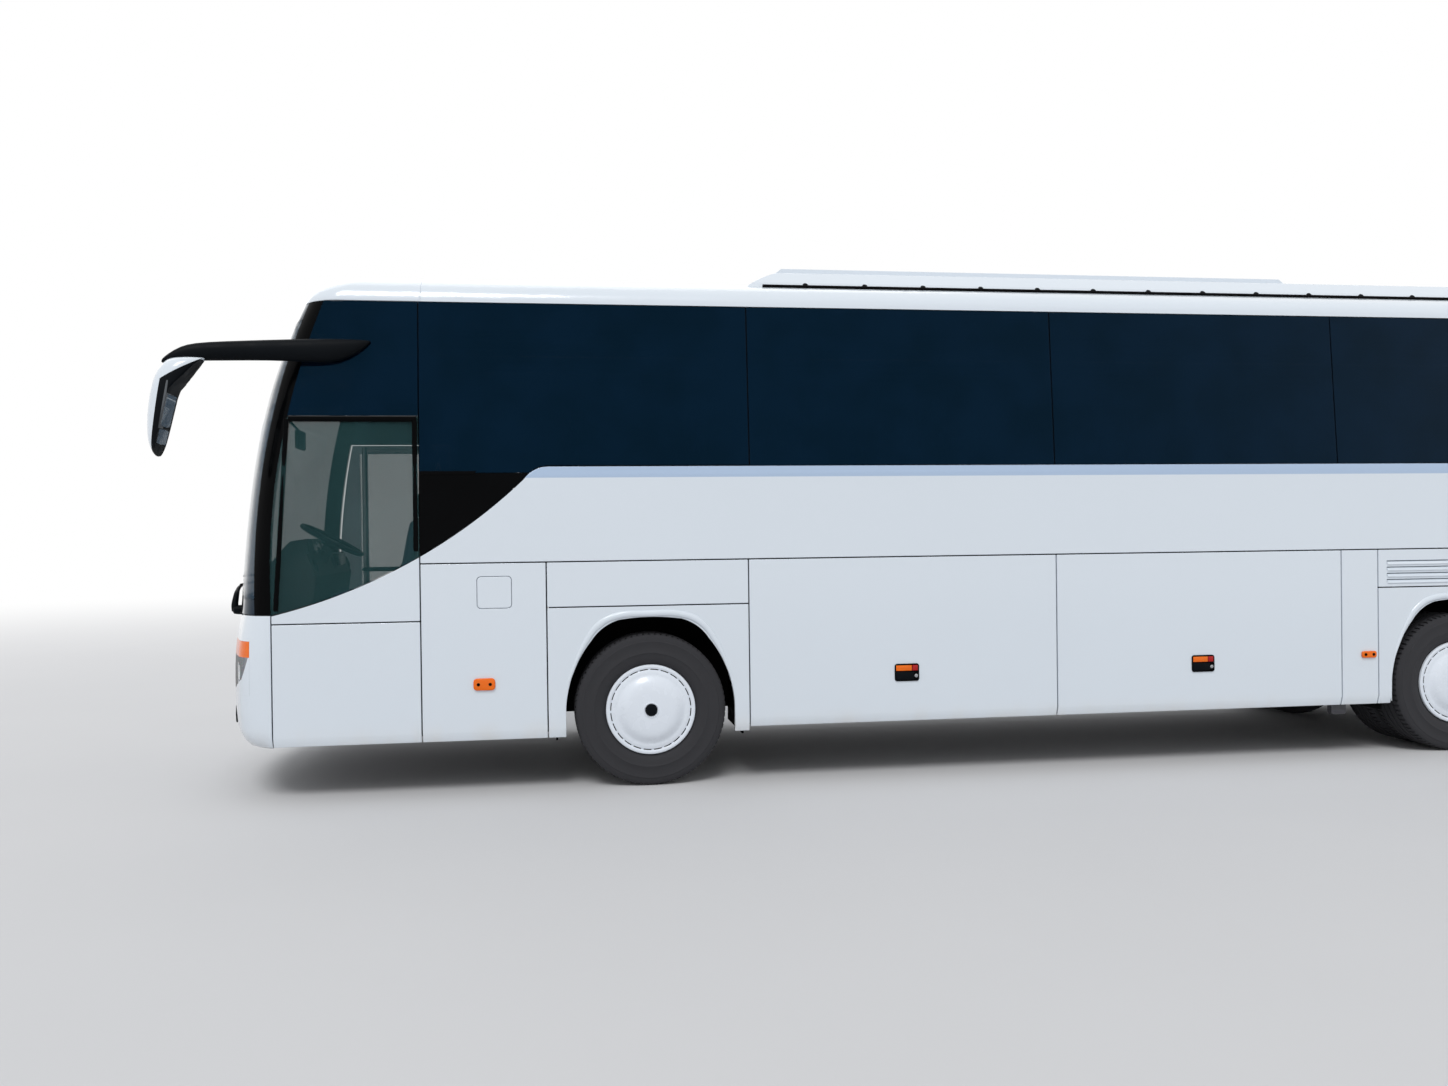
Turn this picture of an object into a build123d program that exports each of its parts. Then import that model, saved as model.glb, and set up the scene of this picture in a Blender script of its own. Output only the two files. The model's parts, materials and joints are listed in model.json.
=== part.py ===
"""Two-axle high-deck touring coach, left-hand drive, at its real size.

X runs from the front to the rear, Y from the left side to the right side, Z up from the road.
The origin lies on the road, under the middle of the overall length.
"""

import os
from math import cos, radians, sin, sqrt

from build123d import *

os.makedirs("parts", exist_ok=True)

# Overall form
wheelbase = 6080.0
front_axle_x = -3079.0
rear_axle_x = front_axle_x + wheelbase
front_overhang = 2890.0
rear_overhang = 3210.0
nose_x = front_axle_x - front_overhang
tail_x = rear_axle_x + rear_overhang
half_width = 1275.0
nose_bow = 3200.0
tail_bow = 7000.0
end_corner = 260.0

# Heights above the road
front_skirt_z = 352.0
skirt_z = 380.0
cab_line_z = 1148.0
mask_top_z = 1205.0
front_arch_line_z = 1222.0
rear_arch_line_z = 1243.0
panel_line_z = 1526.0
belt_z = 2087.0
sill_z = 2166.0
cab_glass_top_z = 2492.0
roof_seam_z = 3262.0
roof_top_z = 3490.0
deck_z = 1480.0
platform_z = 1000.0

# Walls, gaps and fits
panel_wall = 40.0
panel_gap = 8.0
glass_thickness = 24.0
screen_thickness = 12.0
glass_recess = 13.0
tumblehome = 81.0
roof_wall = 60.0
floor_plate = 40.0
seat_gap = 0.3
running_gap = 0.06
skirt_fold_height = 65.0
skirt_fold_depth = 20.0
beyond = 500.0
far_half = 2000.0

# Seams along the side
corner_seam_x = nose_x + 443.0
cab_seam_x = front_axle_x - 1508.0
arch_seam_before = 690.0
arch_seam_after = 675.0
rear_arch_seam = 677.0
filler_width = 297.0
bay_start_x = front_axle_x + arch_seam_after
rear_arch_seam_x = rear_axle_x - rear_arch_seam
rear_arch_end_x = rear_axle_x + rear_arch_seam
bay_end_x = rear_arch_seam_x - filler_width
bay_middle_x = (bay_start_x + bay_end_x) / 2
tail_seam_x = tail_x - 330.0
window_pitch = 2200.0
window_count = 5
glass_end_x = tail_x - 470.0

# Wheels and axles
wheel_radius = 515.0
tyre_half_width = 149.0
tyre_bore = 290.0
front_track_half = 1098.0
twin_outer_half = 1095.0
twin_pitch = 327.0
kingpin_half = 960.0
kingpin_radius = 20.0
spindle_radius = 35.0
drive_spindle_radius = 60.0
spindle_end = 100.0
arch_half = 571.0
arch_leg_z = 480.0
arch_top_z = 1146.0
front_house_half_length = 640.0
front_house_inner_half = 540.0
rear_house_half_length = 615.0
rear_house_inner_half = 560.0
house_top_z = 1170.0
house_wall = 12.0
axle_notch_half = 160.0
axle_notch_top_z = 720.0
rail_inner_half = 380.0
rail_outer_half = 500.0
rail_low_z = 780.0
rail_high_z = 900.0

# Entry doors on the right side
door_width = 836.0
middle_door_margin = 60.0
front_door_x = cab_seam_x - door_width
middle_door_x = bay_end_x - middle_door_margin - door_width
door_low_z = 390.0
door_arm_length = 415.0
door_post_inset = 130.0
door_post_half = half_width - 125.0
door_post_radius = 25.0
door_pin_radius = 10.0

frame_half = half_width - panel_wall - seat_gap


def face_half(z):
    """Half width of the outer side face at a height."""
    if z <= belt_z:
        return half_width
    if z <= sill_z:
        return half_width - glass_recess * (z - belt_z) / (sill_z - belt_z)
    return half_width - glass_recess - tumblehome * (z - sill_z) / (roof_seam_z - sill_z)


def glass_half(z):
    """Half width of the recessed glass face at a height, also below the sill."""
    return min(face_half(z), half_width - glass_recess)


def side_wall(side, start_x, end_x, low_z, high_z, thickness, face=face_half, fold=0.0, recess=0.0):
    """Length of side wall, extruded along the body; side is -1 at the left and 1 at the right."""
    levels = [low_z] + [z for z in (belt_z, sill_z) if low_z < z < high_z] + [high_z]
    outer = [(face(z) - recess, z) for z in levels]
    inner = [(face(z) - recess - thickness, z) for z in reversed(levels)]
    if fold:
        outer[0:1] = [(outer[0][0] - fold, low_z), (outer[0][0], low_z + skirt_fold_height)]
    with BuildPart() as wall:
        with BuildSketch(Plane.YZ.offset(start_x)):
            with BuildLine():
                Polyline([(side * y, z) for y, z in outer + inner], close=True)
            make_face()
        extrude(amount=end_x - start_x)
    return wall.part


def side_panel(side, start_x, end_x, low_z, high_z):
    """Painted panel between two seams, folded inwards where it ends at the skirt."""
    fold = skirt_fold_depth if low_z <= skirt_z else 0.0
    low_gap = 0.0 if fold else panel_gap / 2
    return side_wall(
        side, start_x + panel_gap / 2, end_x - panel_gap / 2, low_z + low_gap,
        high_z - panel_gap / 2, panel_wall, fold=fold,
    )


def plan_outline(front_x, rear_x, half, rear_bow=0.0):
    """Plan of the body: a bowed nose with rounded corners, and a square or bowed tail."""
    sag = nose_bow - sqrt(nose_bow**2 - half**2)
    rear_sag = rear_bow - sqrt(rear_bow**2 - half**2) if rear_bow else 0.0
    with BuildSketch() as outline:
        with BuildLine():
            ThreePointArc((front_x + sag, -half), (front_x, 0), (front_x + sag, half))
            Line((front_x + sag, half), (rear_x - rear_sag, half))
            if rear_bow:
                ThreePointArc((rear_x - rear_sag, half), (rear_x, 0), (rear_x - rear_sag, -half))
            else:
                Line((rear_x, half), (rear_x, -half))
            Line((rear_x - rear_sag, -half), (front_x + sag, -half))
        make_face()
        fillet(outline.vertices().group_by(Axis.X)[0], radius=end_corner)
        if rear_bow:
            fillet(outline.vertices().group_by(Axis.X)[-1], radius=end_corner)
    return outline.sketch


def tail_outline(front_x, rear_x, half):
    """Plan of the tail alone, square at its front end."""
    sag = tail_bow - sqrt(tail_bow**2 - half**2)
    with BuildSketch() as outline:
        with BuildLine():
            ThreePointArc((rear_x - sag, -half), (rear_x, 0), (rear_x - sag, half))
            Line((rear_x - sag, half), (front_x, half))
            Line((front_x, half), (front_x, -half))
            Line((front_x, -half), (rear_x - sag, -half))
        make_face()
        fillet(outline.vertices().group_by(Axis.X)[-1], radius=end_corner)
    return outline.sketch


# Sections of the front mask's rolled lower edge: height, setback from the nose, narrowing of each side
mask_edge_rows = (
    (345.0, 105.0, 20.0),
    (356.0, 74.0, 17.0),
    (385.0, 44.0, 9.0),
    (420.0, 24.0, 1.0),
    (460.0, 11.0, 0.0),
    (568.0, 3.0, 0.0),
)
# Sections of the front mask above it: height, setback from the nose
mask_rows = (
    (568.0, 3.0),
    (686.0, 0.0),
    (985.0, 9.0),
    (mask_top_z, 48.0),
)
# Windscreen sections: height, setback from the nose
screen_rows = (
    (mask_top_z + seat_gap, 40.0),
    (1883.0, 103.0),
    (2499.0, 207.0),
    (3072.0, 389.0),
    (roof_seam_z - seat_gap, 475.0),
)
# Roof sections: height, narrowing of each side, setback from the nose, setback from the tail
roof_rows = (
    (roof_seam_z, 85.0, 475.0, 130.0),
    (roof_seam_z + 88.0, 117.0, 530.0, 170.0),
    (roof_seam_z + 138.0, 175.0, 610.0, 240.0),
    (roof_seam_z + 178.0, 275.0, 740.0, 350.0),
    (roof_seam_z + 208.0, 425.0, 900.0, 500.0),
    (roof_top_z, 675.0, 1200.0, 750.0),
)


def mask_block(inset):
    """Solid lower nose, every side moved in by the inset."""
    with BuildPart() as block:
        for z, setback, narrowing in mask_edge_rows:
            with BuildSketch(Plane.XY.offset(z)):
                add(plan_outline(nose_x + setback + inset, cab_seam_x, half_width - narrowing - inset))
        loft(ruled=True)
        for z, setback in mask_rows:
            with BuildSketch(Plane.XY.offset(z)):
                add(plan_outline(nose_x + setback + inset, cab_seam_x, half_width - inset))
        loft()
    return block.part


def screen_block(inset):
    """Solid upper nose behind the windscreen face, every side moved in by the inset."""
    with BuildPart() as block:
        for z, setback in screen_rows:
            with BuildSketch(Plane.XY.offset(z)):
                add(plan_outline(nose_x + setback + inset, front_axle_x, glass_half(z) - inset))
        loft()
    return block.part


def roof_block(inset):
    """Solid roof crown, every side and the top moved in by the inset."""
    squash = 1 - inset / (roof_top_z - roof_seam_z)
    with BuildPart() as block:
        for z, narrowing, front_setback, rear_setback in roof_rows:
            height = roof_seam_z + (z - roof_seam_z) * squash
            with BuildSketch(Plane.XY.offset(height)):
                add(plan_outline(
                    nose_x + front_setback + inset, tail_x - rear_setback - inset,
                    half_width - narrowing - inset, tail_bow,
                ))
        loft()
    return block.part


def tail_block(inset):
    """Solid tail, straight up to the sill and leaning in above it."""
    lean = roof_rows[0][3]
    with BuildPart() as block:
        with BuildSketch(Plane.XY.offset(skirt_z)):
            add(tail_outline(rear_axle_x, tail_x - inset, half_width - inset))
        extrude(amount=belt_z - skirt_z)
        with BuildSketch(Plane.XY.offset(belt_z)):
            add(tail_outline(rear_axle_x, tail_x - inset, half_width - inset))
        with BuildSketch(Plane.XY.offset(roof_seam_z - seat_gap)):
            add(tail_outline(rear_axle_x, tail_x - lean - inset, glass_half(roof_seam_z) - inset))
        loft()
    return block.part


def shell(block, thickness):
    """Wall of the given thickness under the face of a block."""
    with BuildPart() as wall:
        add(block(0.0))
        add(block(thickness), mode=Mode.SUBTRACT)
    return wall.part


def x_region(start_x, end_x, low_z=0.0, high_z=2 * roof_top_z, low_y=-far_half, high_y=far_half):
    """Box that keeps or cuts a stretch of the body."""
    with BuildPart() as region:
        with Locations(((start_x + end_x) / 2, (low_y + high_y) / 2, (low_z + high_z) / 2)):
            Box(end_x - start_x, high_y - low_y, high_z - low_z)
    return region.part


def box_between(low, high):
    """Box from its lowest corner to its highest corner."""
    return x_region(low[0], high[0], low[2], high[2], low[1], high[1])


# The painted side ends in a sweeping line: its points are heights and distances from the cab seam
sweep_start = (corner_seam_x, mask_top_z)
sweep_middle = (cab_seam_x - 5.0, 1572.0)
sweep_turn = (cab_seam_x + 678.0, 2080.0)
sweep_shoulder = (cab_seam_x + 748.0, 2143.0)
sweep_end = (cab_seam_x + 834.0, sill_z)


def below_sweep(rise):
    """Side view of everything under the sweeping line, with the line raised by a distance."""
    def raised(point):
        return (point[0], point[1] + rise)

    front_x, rear_x = nose_x - beyond, tail_x + beyond
    with BuildSketch(Plane.XZ) as region:
        with BuildLine():
            Line((front_x, -beyond), (front_x, sweep_start[1] + rise))
            Line((front_x, sweep_start[1] + rise), raised(sweep_start))
            ThreePointArc(raised(sweep_start), raised(sweep_middle), raised(sweep_turn))
            ThreePointArc(raised(sweep_turn), raised(sweep_shoulder), raised(sweep_end))
            Line(raised(sweep_end), (rear_x, sill_z + rise))
            Line((rear_x, sill_z + rise), (rear_x, -beyond))
            Line((rear_x, -beyond), (front_x, -beyond))
        make_face()
    return region.sketch


# Rear edge of the front pillars, seen from the side
pillar_width = 110.0
pillar_foot = (nose_x + 440.0, mask_top_z + 3.0)
pillar_middle = (nose_x + 555.0, 2496.0)
pillar_head = (nose_x + 784.0, roof_seam_z)


def ahead_of_pillar(shift):
    """Side view of everything ahead of the pillar's rear edge, moved forward by a distance."""
    foot, middle, head = ((x - shift, z) for x, z in (pillar_foot, pillar_middle, pillar_head))
    front_x, low_z, high_z = nose_x - beyond, foot[1] - beyond, head[1] + beyond
    with BuildSketch(Plane.XZ) as region:
        with BuildLine():
            Line((front_x, low_z), (foot[0], low_z))
            Line((foot[0], low_z), foot)
            ThreePointArc(foot, middle, head)
            Line(head, (head[0], high_z))
            Line((head[0], high_z), (front_x, high_z))
            Line((front_x, high_z), (front_x, low_z))
        make_face()
    return region.sketch


# Front mask with openings for the lamps and the cooling slots
lamp_low_z = 690.0
lamp_high_z = 1040.0
lamp_inner_half = 760.0
lamp_depth = 296.0
socket_z = 480.0
mask_slot_pitch = 70.0
mask_slot_height = 44.0
mask_slot_half_length = 520.0
mask_shell = shell(mask_block, panel_wall)
with BuildPart() as front_mask:
    add(mask_shell)
    add(x_region(nose_x - beyond, corner_seam_x - panel_gap / 2), mode=Mode.INTERSECT)
    for side in (-1, 1):
        with Locations((nose_x, side * (lamp_inner_half + half_width) / 2, (lamp_low_z + lamp_high_z) / 2)):
            Box(2 * lamp_depth, half_width - lamp_inner_half, lamp_high_z - lamp_low_z, mode=Mode.SUBTRACT)
    for i in (-1, 0, 1):
        with Locations((nose_x, 0, socket_z + i * mask_slot_pitch)):
            Box(2 * lamp_depth, 2 * mask_slot_half_length, mask_slot_height, mode=Mode.SUBTRACT)
front_mask.part.label = "front_mask"
export_step(front_mask.part, "parts/front_mask.step")

# Lamp units in the corners of the mask
with BuildPart() as front_lamps:
    add(mask_shell)
    with Locations(*[
        (nose_x, side * (lamp_inner_half + half_width) / 2, (lamp_low_z + lamp_high_z) / 2)
        for side in (-1, 1)
    ]):
        Box(
            2 * (lamp_depth - seat_gap), half_width - lamp_inner_half - 2 * seat_gap,
            lamp_high_z - lamp_low_z - 2 * seat_gap, mode=Mode.INTERSECT,
        )
front_lamps.part.label = "front_lamps"
export_step(front_lamps.part, "parts/front_lamps.step")

# Windscreen between the front pillars
with BuildPart() as windscreen:
    add(shell(screen_block, screen_thickness))
    with BuildSketch(Plane.XZ):
        add(ahead_of_pillar(pillar_width + seat_gap))
    extrude(amount=2 * half_width, both=True, mode=Mode.INTERSECT)
    add(x_region(nose_x, front_axle_x, mask_top_z + panel_gap, roof_seam_z - panel_gap), mode=Mode.INTERSECT)
windscreen.part.label = "windscreen"
export_step(windscreen.part, "parts/windscreen.step")

# Black surrounds: front pillars, panels under the sweep's glass, and posts behind the side glass
post_half_length = 35.0
post_depth = 60.0
window_seams = [min(cab_seam_x + i * window_pitch, glass_end_x) for i in range(window_count + 1)]
post_starts = ([window_seams[0] + panel_gap / 2] + [x - post_half_length for x in window_seams[1:-1]]
               + [window_seams[-1] - 2 * post_half_length])
first_pane_low_z = 2123.0
with BuildPart() as window_surrounds:
    add(shell(screen_block, panel_wall))
    with BuildSketch(Plane.XZ):
        add(ahead_of_pillar(0))
        add(ahead_of_pillar(pillar_width), mode=Mode.SUBTRACT)
    extrude(amount=2 * half_width, both=True, mode=Mode.INTERSECT)
    for side in (-1, 1):
        with BuildPart(mode=Mode.PRIVATE) as sweep_panel:
            add(side_wall(side, cab_seam_x + panel_gap / 2, sweep_end[0], sweep_middle[1],
                          first_pane_low_z - panel_gap / 2, panel_wall - glass_recess, face=glass_half))
            with BuildSketch(Plane.XZ):
                add(below_sweep(panel_gap / 2))
            extrude(amount=2 * half_width, both=True, mode=Mode.SUBTRACT)
        add(sweep_panel.part)
        foot_face = frame_half
        foot_z = deck_z + seat_gap
        head_face = glass_half(roof_seam_z) - glass_thickness - seat_gap
        for x in post_starts:
            with BuildSketch(Plane.YZ.offset(x)):
                with BuildLine():
                    Polyline(
                        (side * foot_face, foot_z), (side * foot_face, belt_z),
                        (side * (foot_face - glass_recess), sill_z),
                        (side * head_face, roof_seam_z - seat_gap),
                        (side * (head_face - post_depth), roof_seam_z - seat_gap),
                        (side * (foot_face - glass_recess - post_depth), sill_z),
                        (side * (foot_face - post_depth), foot_z), close=True,
                    )
                make_face()
            extrude(amount=2 * post_half_length)
window_surrounds.part.label = "window_surrounds"
export_step(window_surrounds.part, "parts/window_surrounds.step")

# Roof in two pieces: a rounded front cap, and the long crown behind its joint
roof_shell = shell(roof_block, roof_wall)
roof_joint_x = cab_seam_x + 18.0
with BuildPart() as roof_front_cap:
    add(roof_shell)
    add(x_region(nose_x, roof_joint_x - seat_gap), mode=Mode.INTERSECT)
roof_front_cap.part.label = "roof_front_cap"
export_step(roof_front_cap.part, "parts/roof_front_cap.step")

with BuildPart() as roof_panel:
    add(roof_shell)
    add(x_region(roof_joint_x, tail_x), mode=Mode.INTERSECT)
roof_panel.part.label = "roof_panel"
export_step(roof_panel.part, "parts/roof_panel.step")

# Roof fairings along both sides and the air unit between them
fairing_start_x = front_axle_x + 743.0
fairing_end_x = tail_x - 420.0
fairing_nose = 700.0
fairing_tip = 20.0
fairing_brow_reach = 210.0
fairing_brow_drop = 28.0
fairing_low_z = roof_top_z - 59.0
fairing_top_z = roof_top_z + 98.0
fairing_outer_half = half_width - 263.0
fairing_inner_half = 440.0
fairing_shoulder = 110.0
unit_start_x = fairing_start_x + 90.0
unit_end_x = front_axle_x + 5444.0
unit_top_z = roof_top_z + 210.0
unit_slope = 260.0
unit_seat_z = roof_top_z + 8.0
# Section of a fairing: distance from the middle plane, height
fairing_section = (
    (fairing_inner_half, fairing_low_z),
    (fairing_outer_half, fairing_low_z),
    (fairing_outer_half - fairing_shoulder / 4, fairing_top_z - fairing_shoulder),
    (fairing_outer_half - fairing_shoulder, fairing_top_z - fairing_shoulder / 4),
    (fairing_outer_half - 2 * fairing_shoulder, fairing_top_z),
    (fairing_inner_half, fairing_top_z),
)
with BuildPart() as roof_fairing:
    for side in (-1, 1):
        with BuildPart(mode=Mode.PRIVATE) as strip:
            with BuildSketch(Plane.YZ.offset(fairing_start_x)):
                with BuildLine():
                    Polyline([(side * y, z) for y, z in fairing_section], close=True)
                make_face()
            extrude(amount=fairing_end_x - fairing_start_x)
            with BuildSketch(Plane.XZ):
                with BuildLine():
                    ThreePointArc(
                        (fairing_start_x, fairing_low_z + fairing_tip),
                        (fairing_start_x + fairing_brow_reach, fairing_top_z - fairing_brow_drop),
                        (fairing_start_x + fairing_nose, fairing_top_z),
                    )
                    Polyline(
                        (fairing_start_x + fairing_nose, fairing_top_z),
                        (fairing_end_x - fairing_nose, fairing_top_z),
                        (fairing_end_x, fairing_low_z + fairing_tip),
                        (fairing_end_x, fairing_low_z - fairing_tip),
                        (fairing_start_x, fairing_low_z - fairing_tip),
                        (fairing_start_x, fairing_low_z + fairing_tip),
                    )
                make_face()
            extrude(amount=2 * half_width, both=True, mode=Mode.INTERSECT)
            add(roof_block(0.0), mode=Mode.SUBTRACT)
        add(strip.part)
    with BuildSketch(Plane.XZ):
        with BuildLine():
            Polyline(
                (unit_start_x, unit_seat_z), (unit_start_x + unit_slope, unit_top_z),
                (unit_end_x - unit_slope, unit_top_z), (unit_end_x, unit_seat_z), close=True,
            )
        make_face()
    extrude(amount=fairing_inner_half - seat_gap, both=True)
roof_fairing.part.label = "roof_fairing"
export_step(roof_fairing.part, "parts/roof_fairing.step")

# Tail: one shell with openings for the rear window, the engine lid and the lamps
rear_window_half = 1000.0
rear_window_low_z = 2300.0
rear_window_high_z = 3120.0
lid_half = 880.0
lid_low_z = 700.0
lid_high_z = 1760.0
tail_lamp_inner_half = 960.0
tail_lamp_low_z = 720.0
tail_lamp_high_z = 1180.0
tail_depth = 300.0
lid_barrel_half = 250.0
socket_opening_half = 60.0
tail_shell = shell(tail_block, panel_wall)


def tail_region(half_from, half_to, low_z, high_z, clearance=0.0):
    """Pair of boxes through the tail, one each side, or a single box where the inner half is zero."""
    regions = []
    for side in (-1, 1):
        inner = half_from + clearance if half_from else 0.0
        low_y, high_y = sorted((side * inner, side * (half_to - clearance)))
        regions.append(x_region(
            tail_x - tail_depth, tail_x + tail_depth, low_z + clearance, high_z - clearance, low_y, high_y
        ))
    return regions


with BuildPart() as rear_panel:
    add(tail_shell)
    add(x_region(rear_axle_x, tail_seam_x + panel_gap / 2, 0.0, sill_z - panel_gap / 2), mode=Mode.SUBTRACT)
    add(x_region(rear_axle_x, glass_end_x + panel_gap / 2, belt_z), mode=Mode.SUBTRACT)
    add(tail_region(0.0, rear_window_half, rear_window_low_z, rear_window_high_z), mode=Mode.SUBTRACT)
    add(tail_region(0.0, lid_half, lid_low_z, lid_high_z), mode=Mode.SUBTRACT)
    add(tail_region(0.0, socket_opening_half, socket_z - socket_opening_half, socket_z + socket_opening_half),
        mode=Mode.SUBTRACT)
    add(tail_region(tail_lamp_inner_half, half_width, tail_lamp_low_z, tail_lamp_high_z), mode=Mode.SUBTRACT)
rear_panel.part.label = "rear_panel"
export_step(rear_panel.part, "parts/rear_panel.step")

with BuildPart() as tail_lamps:
    add(tail_shell)
    lamp_regions = tail_region(
        tail_lamp_inner_half, half_width + 2 * seat_gap, tail_lamp_low_z, tail_lamp_high_z, seat_gap
    )
    add(lamp_regions, mode=Mode.INTERSECT)
tail_lamps.part.label = "tail_lamps"
export_step(tail_lamps.part, "parts/tail_lamps.step")

with BuildPart() as engine_lid:
    add(tail_shell)
    add(x_region(
        tail_x - tail_depth, tail_x + tail_depth, lid_low_z + panel_gap, lid_high_z - panel_gap,
        panel_gap - lid_half, lid_half - panel_gap,
    ), mode=Mode.INTERSECT)
    with Locations((tail_x, 0, lid_high_z - panel_gap)):
        Cylinder(panel_gap - seat_gap, 2 * lid_barrel_half, rotation=(90, 0, 0))
engine_lid.part.label = "engine_lid"
export_step(engine_lid.part, "parts/engine_lid.step")

# Side and rear glass: a pane between each pair of seams, fixed panes over the cab, the rear window
with BuildPart() as cabin_glass:
    for side in (-1, 1):
        for i in range(window_count):
            low_z = first_pane_low_z if i == 0 else sill_z
            with BuildPart(mode=Mode.PRIVATE) as pane:
                add(side_wall(side, window_seams[i] + panel_gap / 2, window_seams[i + 1] - panel_gap / 2,
                              low_z + seat_gap, roof_seam_z - panel_gap / 2, glass_thickness,
                              face=glass_half))
                if i == 0:
                    with BuildSketch(Plane.XZ):
                        add(below_sweep(panel_gap / 2))
                    extrude(amount=2 * half_width, both=True, mode=Mode.SUBTRACT)
            add(pane.part)
        with BuildPart(mode=Mode.PRIVATE) as cab_pane:
            add(side_wall(side, pillar_foot[0], cab_seam_x - panel_gap / 2, cab_glass_top_z + panel_gap,
                          roof_seam_z - panel_gap / 2, glass_thickness, face=glass_half))
            with BuildSketch(Plane.XZ):
                add(ahead_of_pillar(-seat_gap))
            extrude(amount=2 * half_width, both=True, mode=Mode.SUBTRACT)
        add(cab_pane.part)
    with BuildPart(mode=Mode.PRIVATE) as rear_pane:
        add(shell(tail_block, glass_thickness))
        add(x_region(
            tail_x - tail_depth, tail_x, rear_window_low_z + seat_gap, rear_window_high_z - seat_gap,
            seat_gap - rear_window_half, rear_window_half - seat_gap,
        ), mode=Mode.INTERSECT)
    add(rear_pane.part)
cabin_glass.part.label = "cabin_glass"
export_step(cabin_glass.part, "parts/cabin_glass.step")

# Driver's window on the left side, from the sweeping line up to the fixed glass
with BuildPart() as driver_window:
    add(side_wall(-1, pillar_foot[0], cab_seam_x - panel_gap / 2, sweep_start[1], cab_glass_top_z,
                  glass_thickness, face=glass_half))
    with BuildSketch(Plane.XZ):
        add(ahead_of_pillar(-seat_gap))
        add(below_sweep(panel_gap / 2))
    extrude(amount=2 * half_width, both=True, mode=Mode.SUBTRACT)
driver_window.part.label = "driver_window"
export_step(driver_window.part, "parts/driver_window.step")

# Painted side panels
flap_start_x = front_axle_x - 1142.0
flap_end_x = front_axle_x - 920.0
flap_low_z = 1226.0
flap_high_z = 1434.0
flap_gap = 3.0
flap_thickness = 20.0
flap_rim = 25.0
grille_start_x = rear_axle_x - 604.0
grille_end_x = rear_axle_x + 1900.0
grille_slots = (1292.0, 1338.0, 1384.0, 1430.0)
grille_slot_height = 22.0


def belt_panel(side, start_x):
    """Long upper panel: its front end follows the sweeping line down to the panel line."""
    with BuildPart() as panel:
        add(side_wall(side, start_x, tail_seam_x - panel_gap / 2, panel_line_z + panel_gap / 2,
                      sill_z - panel_gap / 2, panel_wall))
        with BuildSketch(Plane.XZ):
            add(below_sweep(-panel_gap / 2))
        extrude(amount=2 * half_width, both=True, mode=Mode.INTERSECT)
    return panel.part


# Wheel arch, from its straight leg to its flat top: distance from the axle, drop below the top
arch_shoulder = (520.0, 366.0)
arch_corner = (397.0, 152.0)
arch_bend = (318.0, 68.0)
arch_brow = (210.0, 16.0)


def arch_opening(axle_x):
    """Side view of a wheel arch: straight legs, rounded shoulders and a flat top."""
    def point(side, row):
        return (axle_x + side * row[0], arch_top_z - row[1])

    leg = (arch_half, arch_top_z - arch_leg_z)
    with BuildSketch(Plane.XZ) as opening:
        with BuildLine():
            for side in (-1, 1):
                Line((axle_x + side * arch_half, 0.0), point(side, leg))
                ThreePointArc(point(side, leg), point(side, arch_shoulder), point(side, arch_corner))
                ThreePointArc(point(side, arch_corner), point(side, arch_bend), point(side, arch_brow))
            ThreePointArc(point(-1, arch_brow), (axle_x, arch_top_z), point(1, arch_brow))
            Line((axle_x - arch_half, 0.0), (axle_x + arch_half, 0.0))
        make_face()
    return opening.sketch


def arch_panel(side, axle_x, start_x, end_x, low_z, high_z):
    """Panel over a wheel, with the wheel arch cut out of it."""
    with BuildPart() as panel:
        add(side_panel(side, start_x, end_x, low_z, high_z))
        with BuildSketch(Plane.XZ):
            add(arch_opening(axle_x))
        extrude(amount=2 * half_width, both=True, mode=Mode.SUBTRACT)
    return panel.part


def grille_panel(side):
    """Panel over the rear wheel with the four long slots of the engine's air intake."""
    with BuildPart() as panel:
        add(side_panel(side, rear_arch_seam_x, tail_seam_x, rear_arch_line_z, panel_line_z))
        slot_length = grille_end_x - grille_start_x
        for z in grille_slots:
            with Locations(((grille_start_x + grille_end_x) / 2, side * half_width, z)):
                Box(slot_length, 2 * panel_wall - 2 * panel_gap, grille_slot_height, mode=Mode.SUBTRACT)
    return panel.part


def flap_pocket():
    """Round-cornered pocket that the fuel flap closes."""
    with BuildPart() as pocket:
        with Locations(((flap_start_x + flap_end_x) / 2, -half_width, (flap_low_z + flap_high_z) / 2)):
            Box(flap_end_x - flap_start_x + 2 * flap_gap, 2 * (flap_thickness + seat_gap),
                flap_high_z - flap_low_z + 2 * flap_gap)
        fillet(pocket.edges().filter_by(Axis.Y), radius=flap_rim + flap_gap)
    return pocket.part


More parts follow.
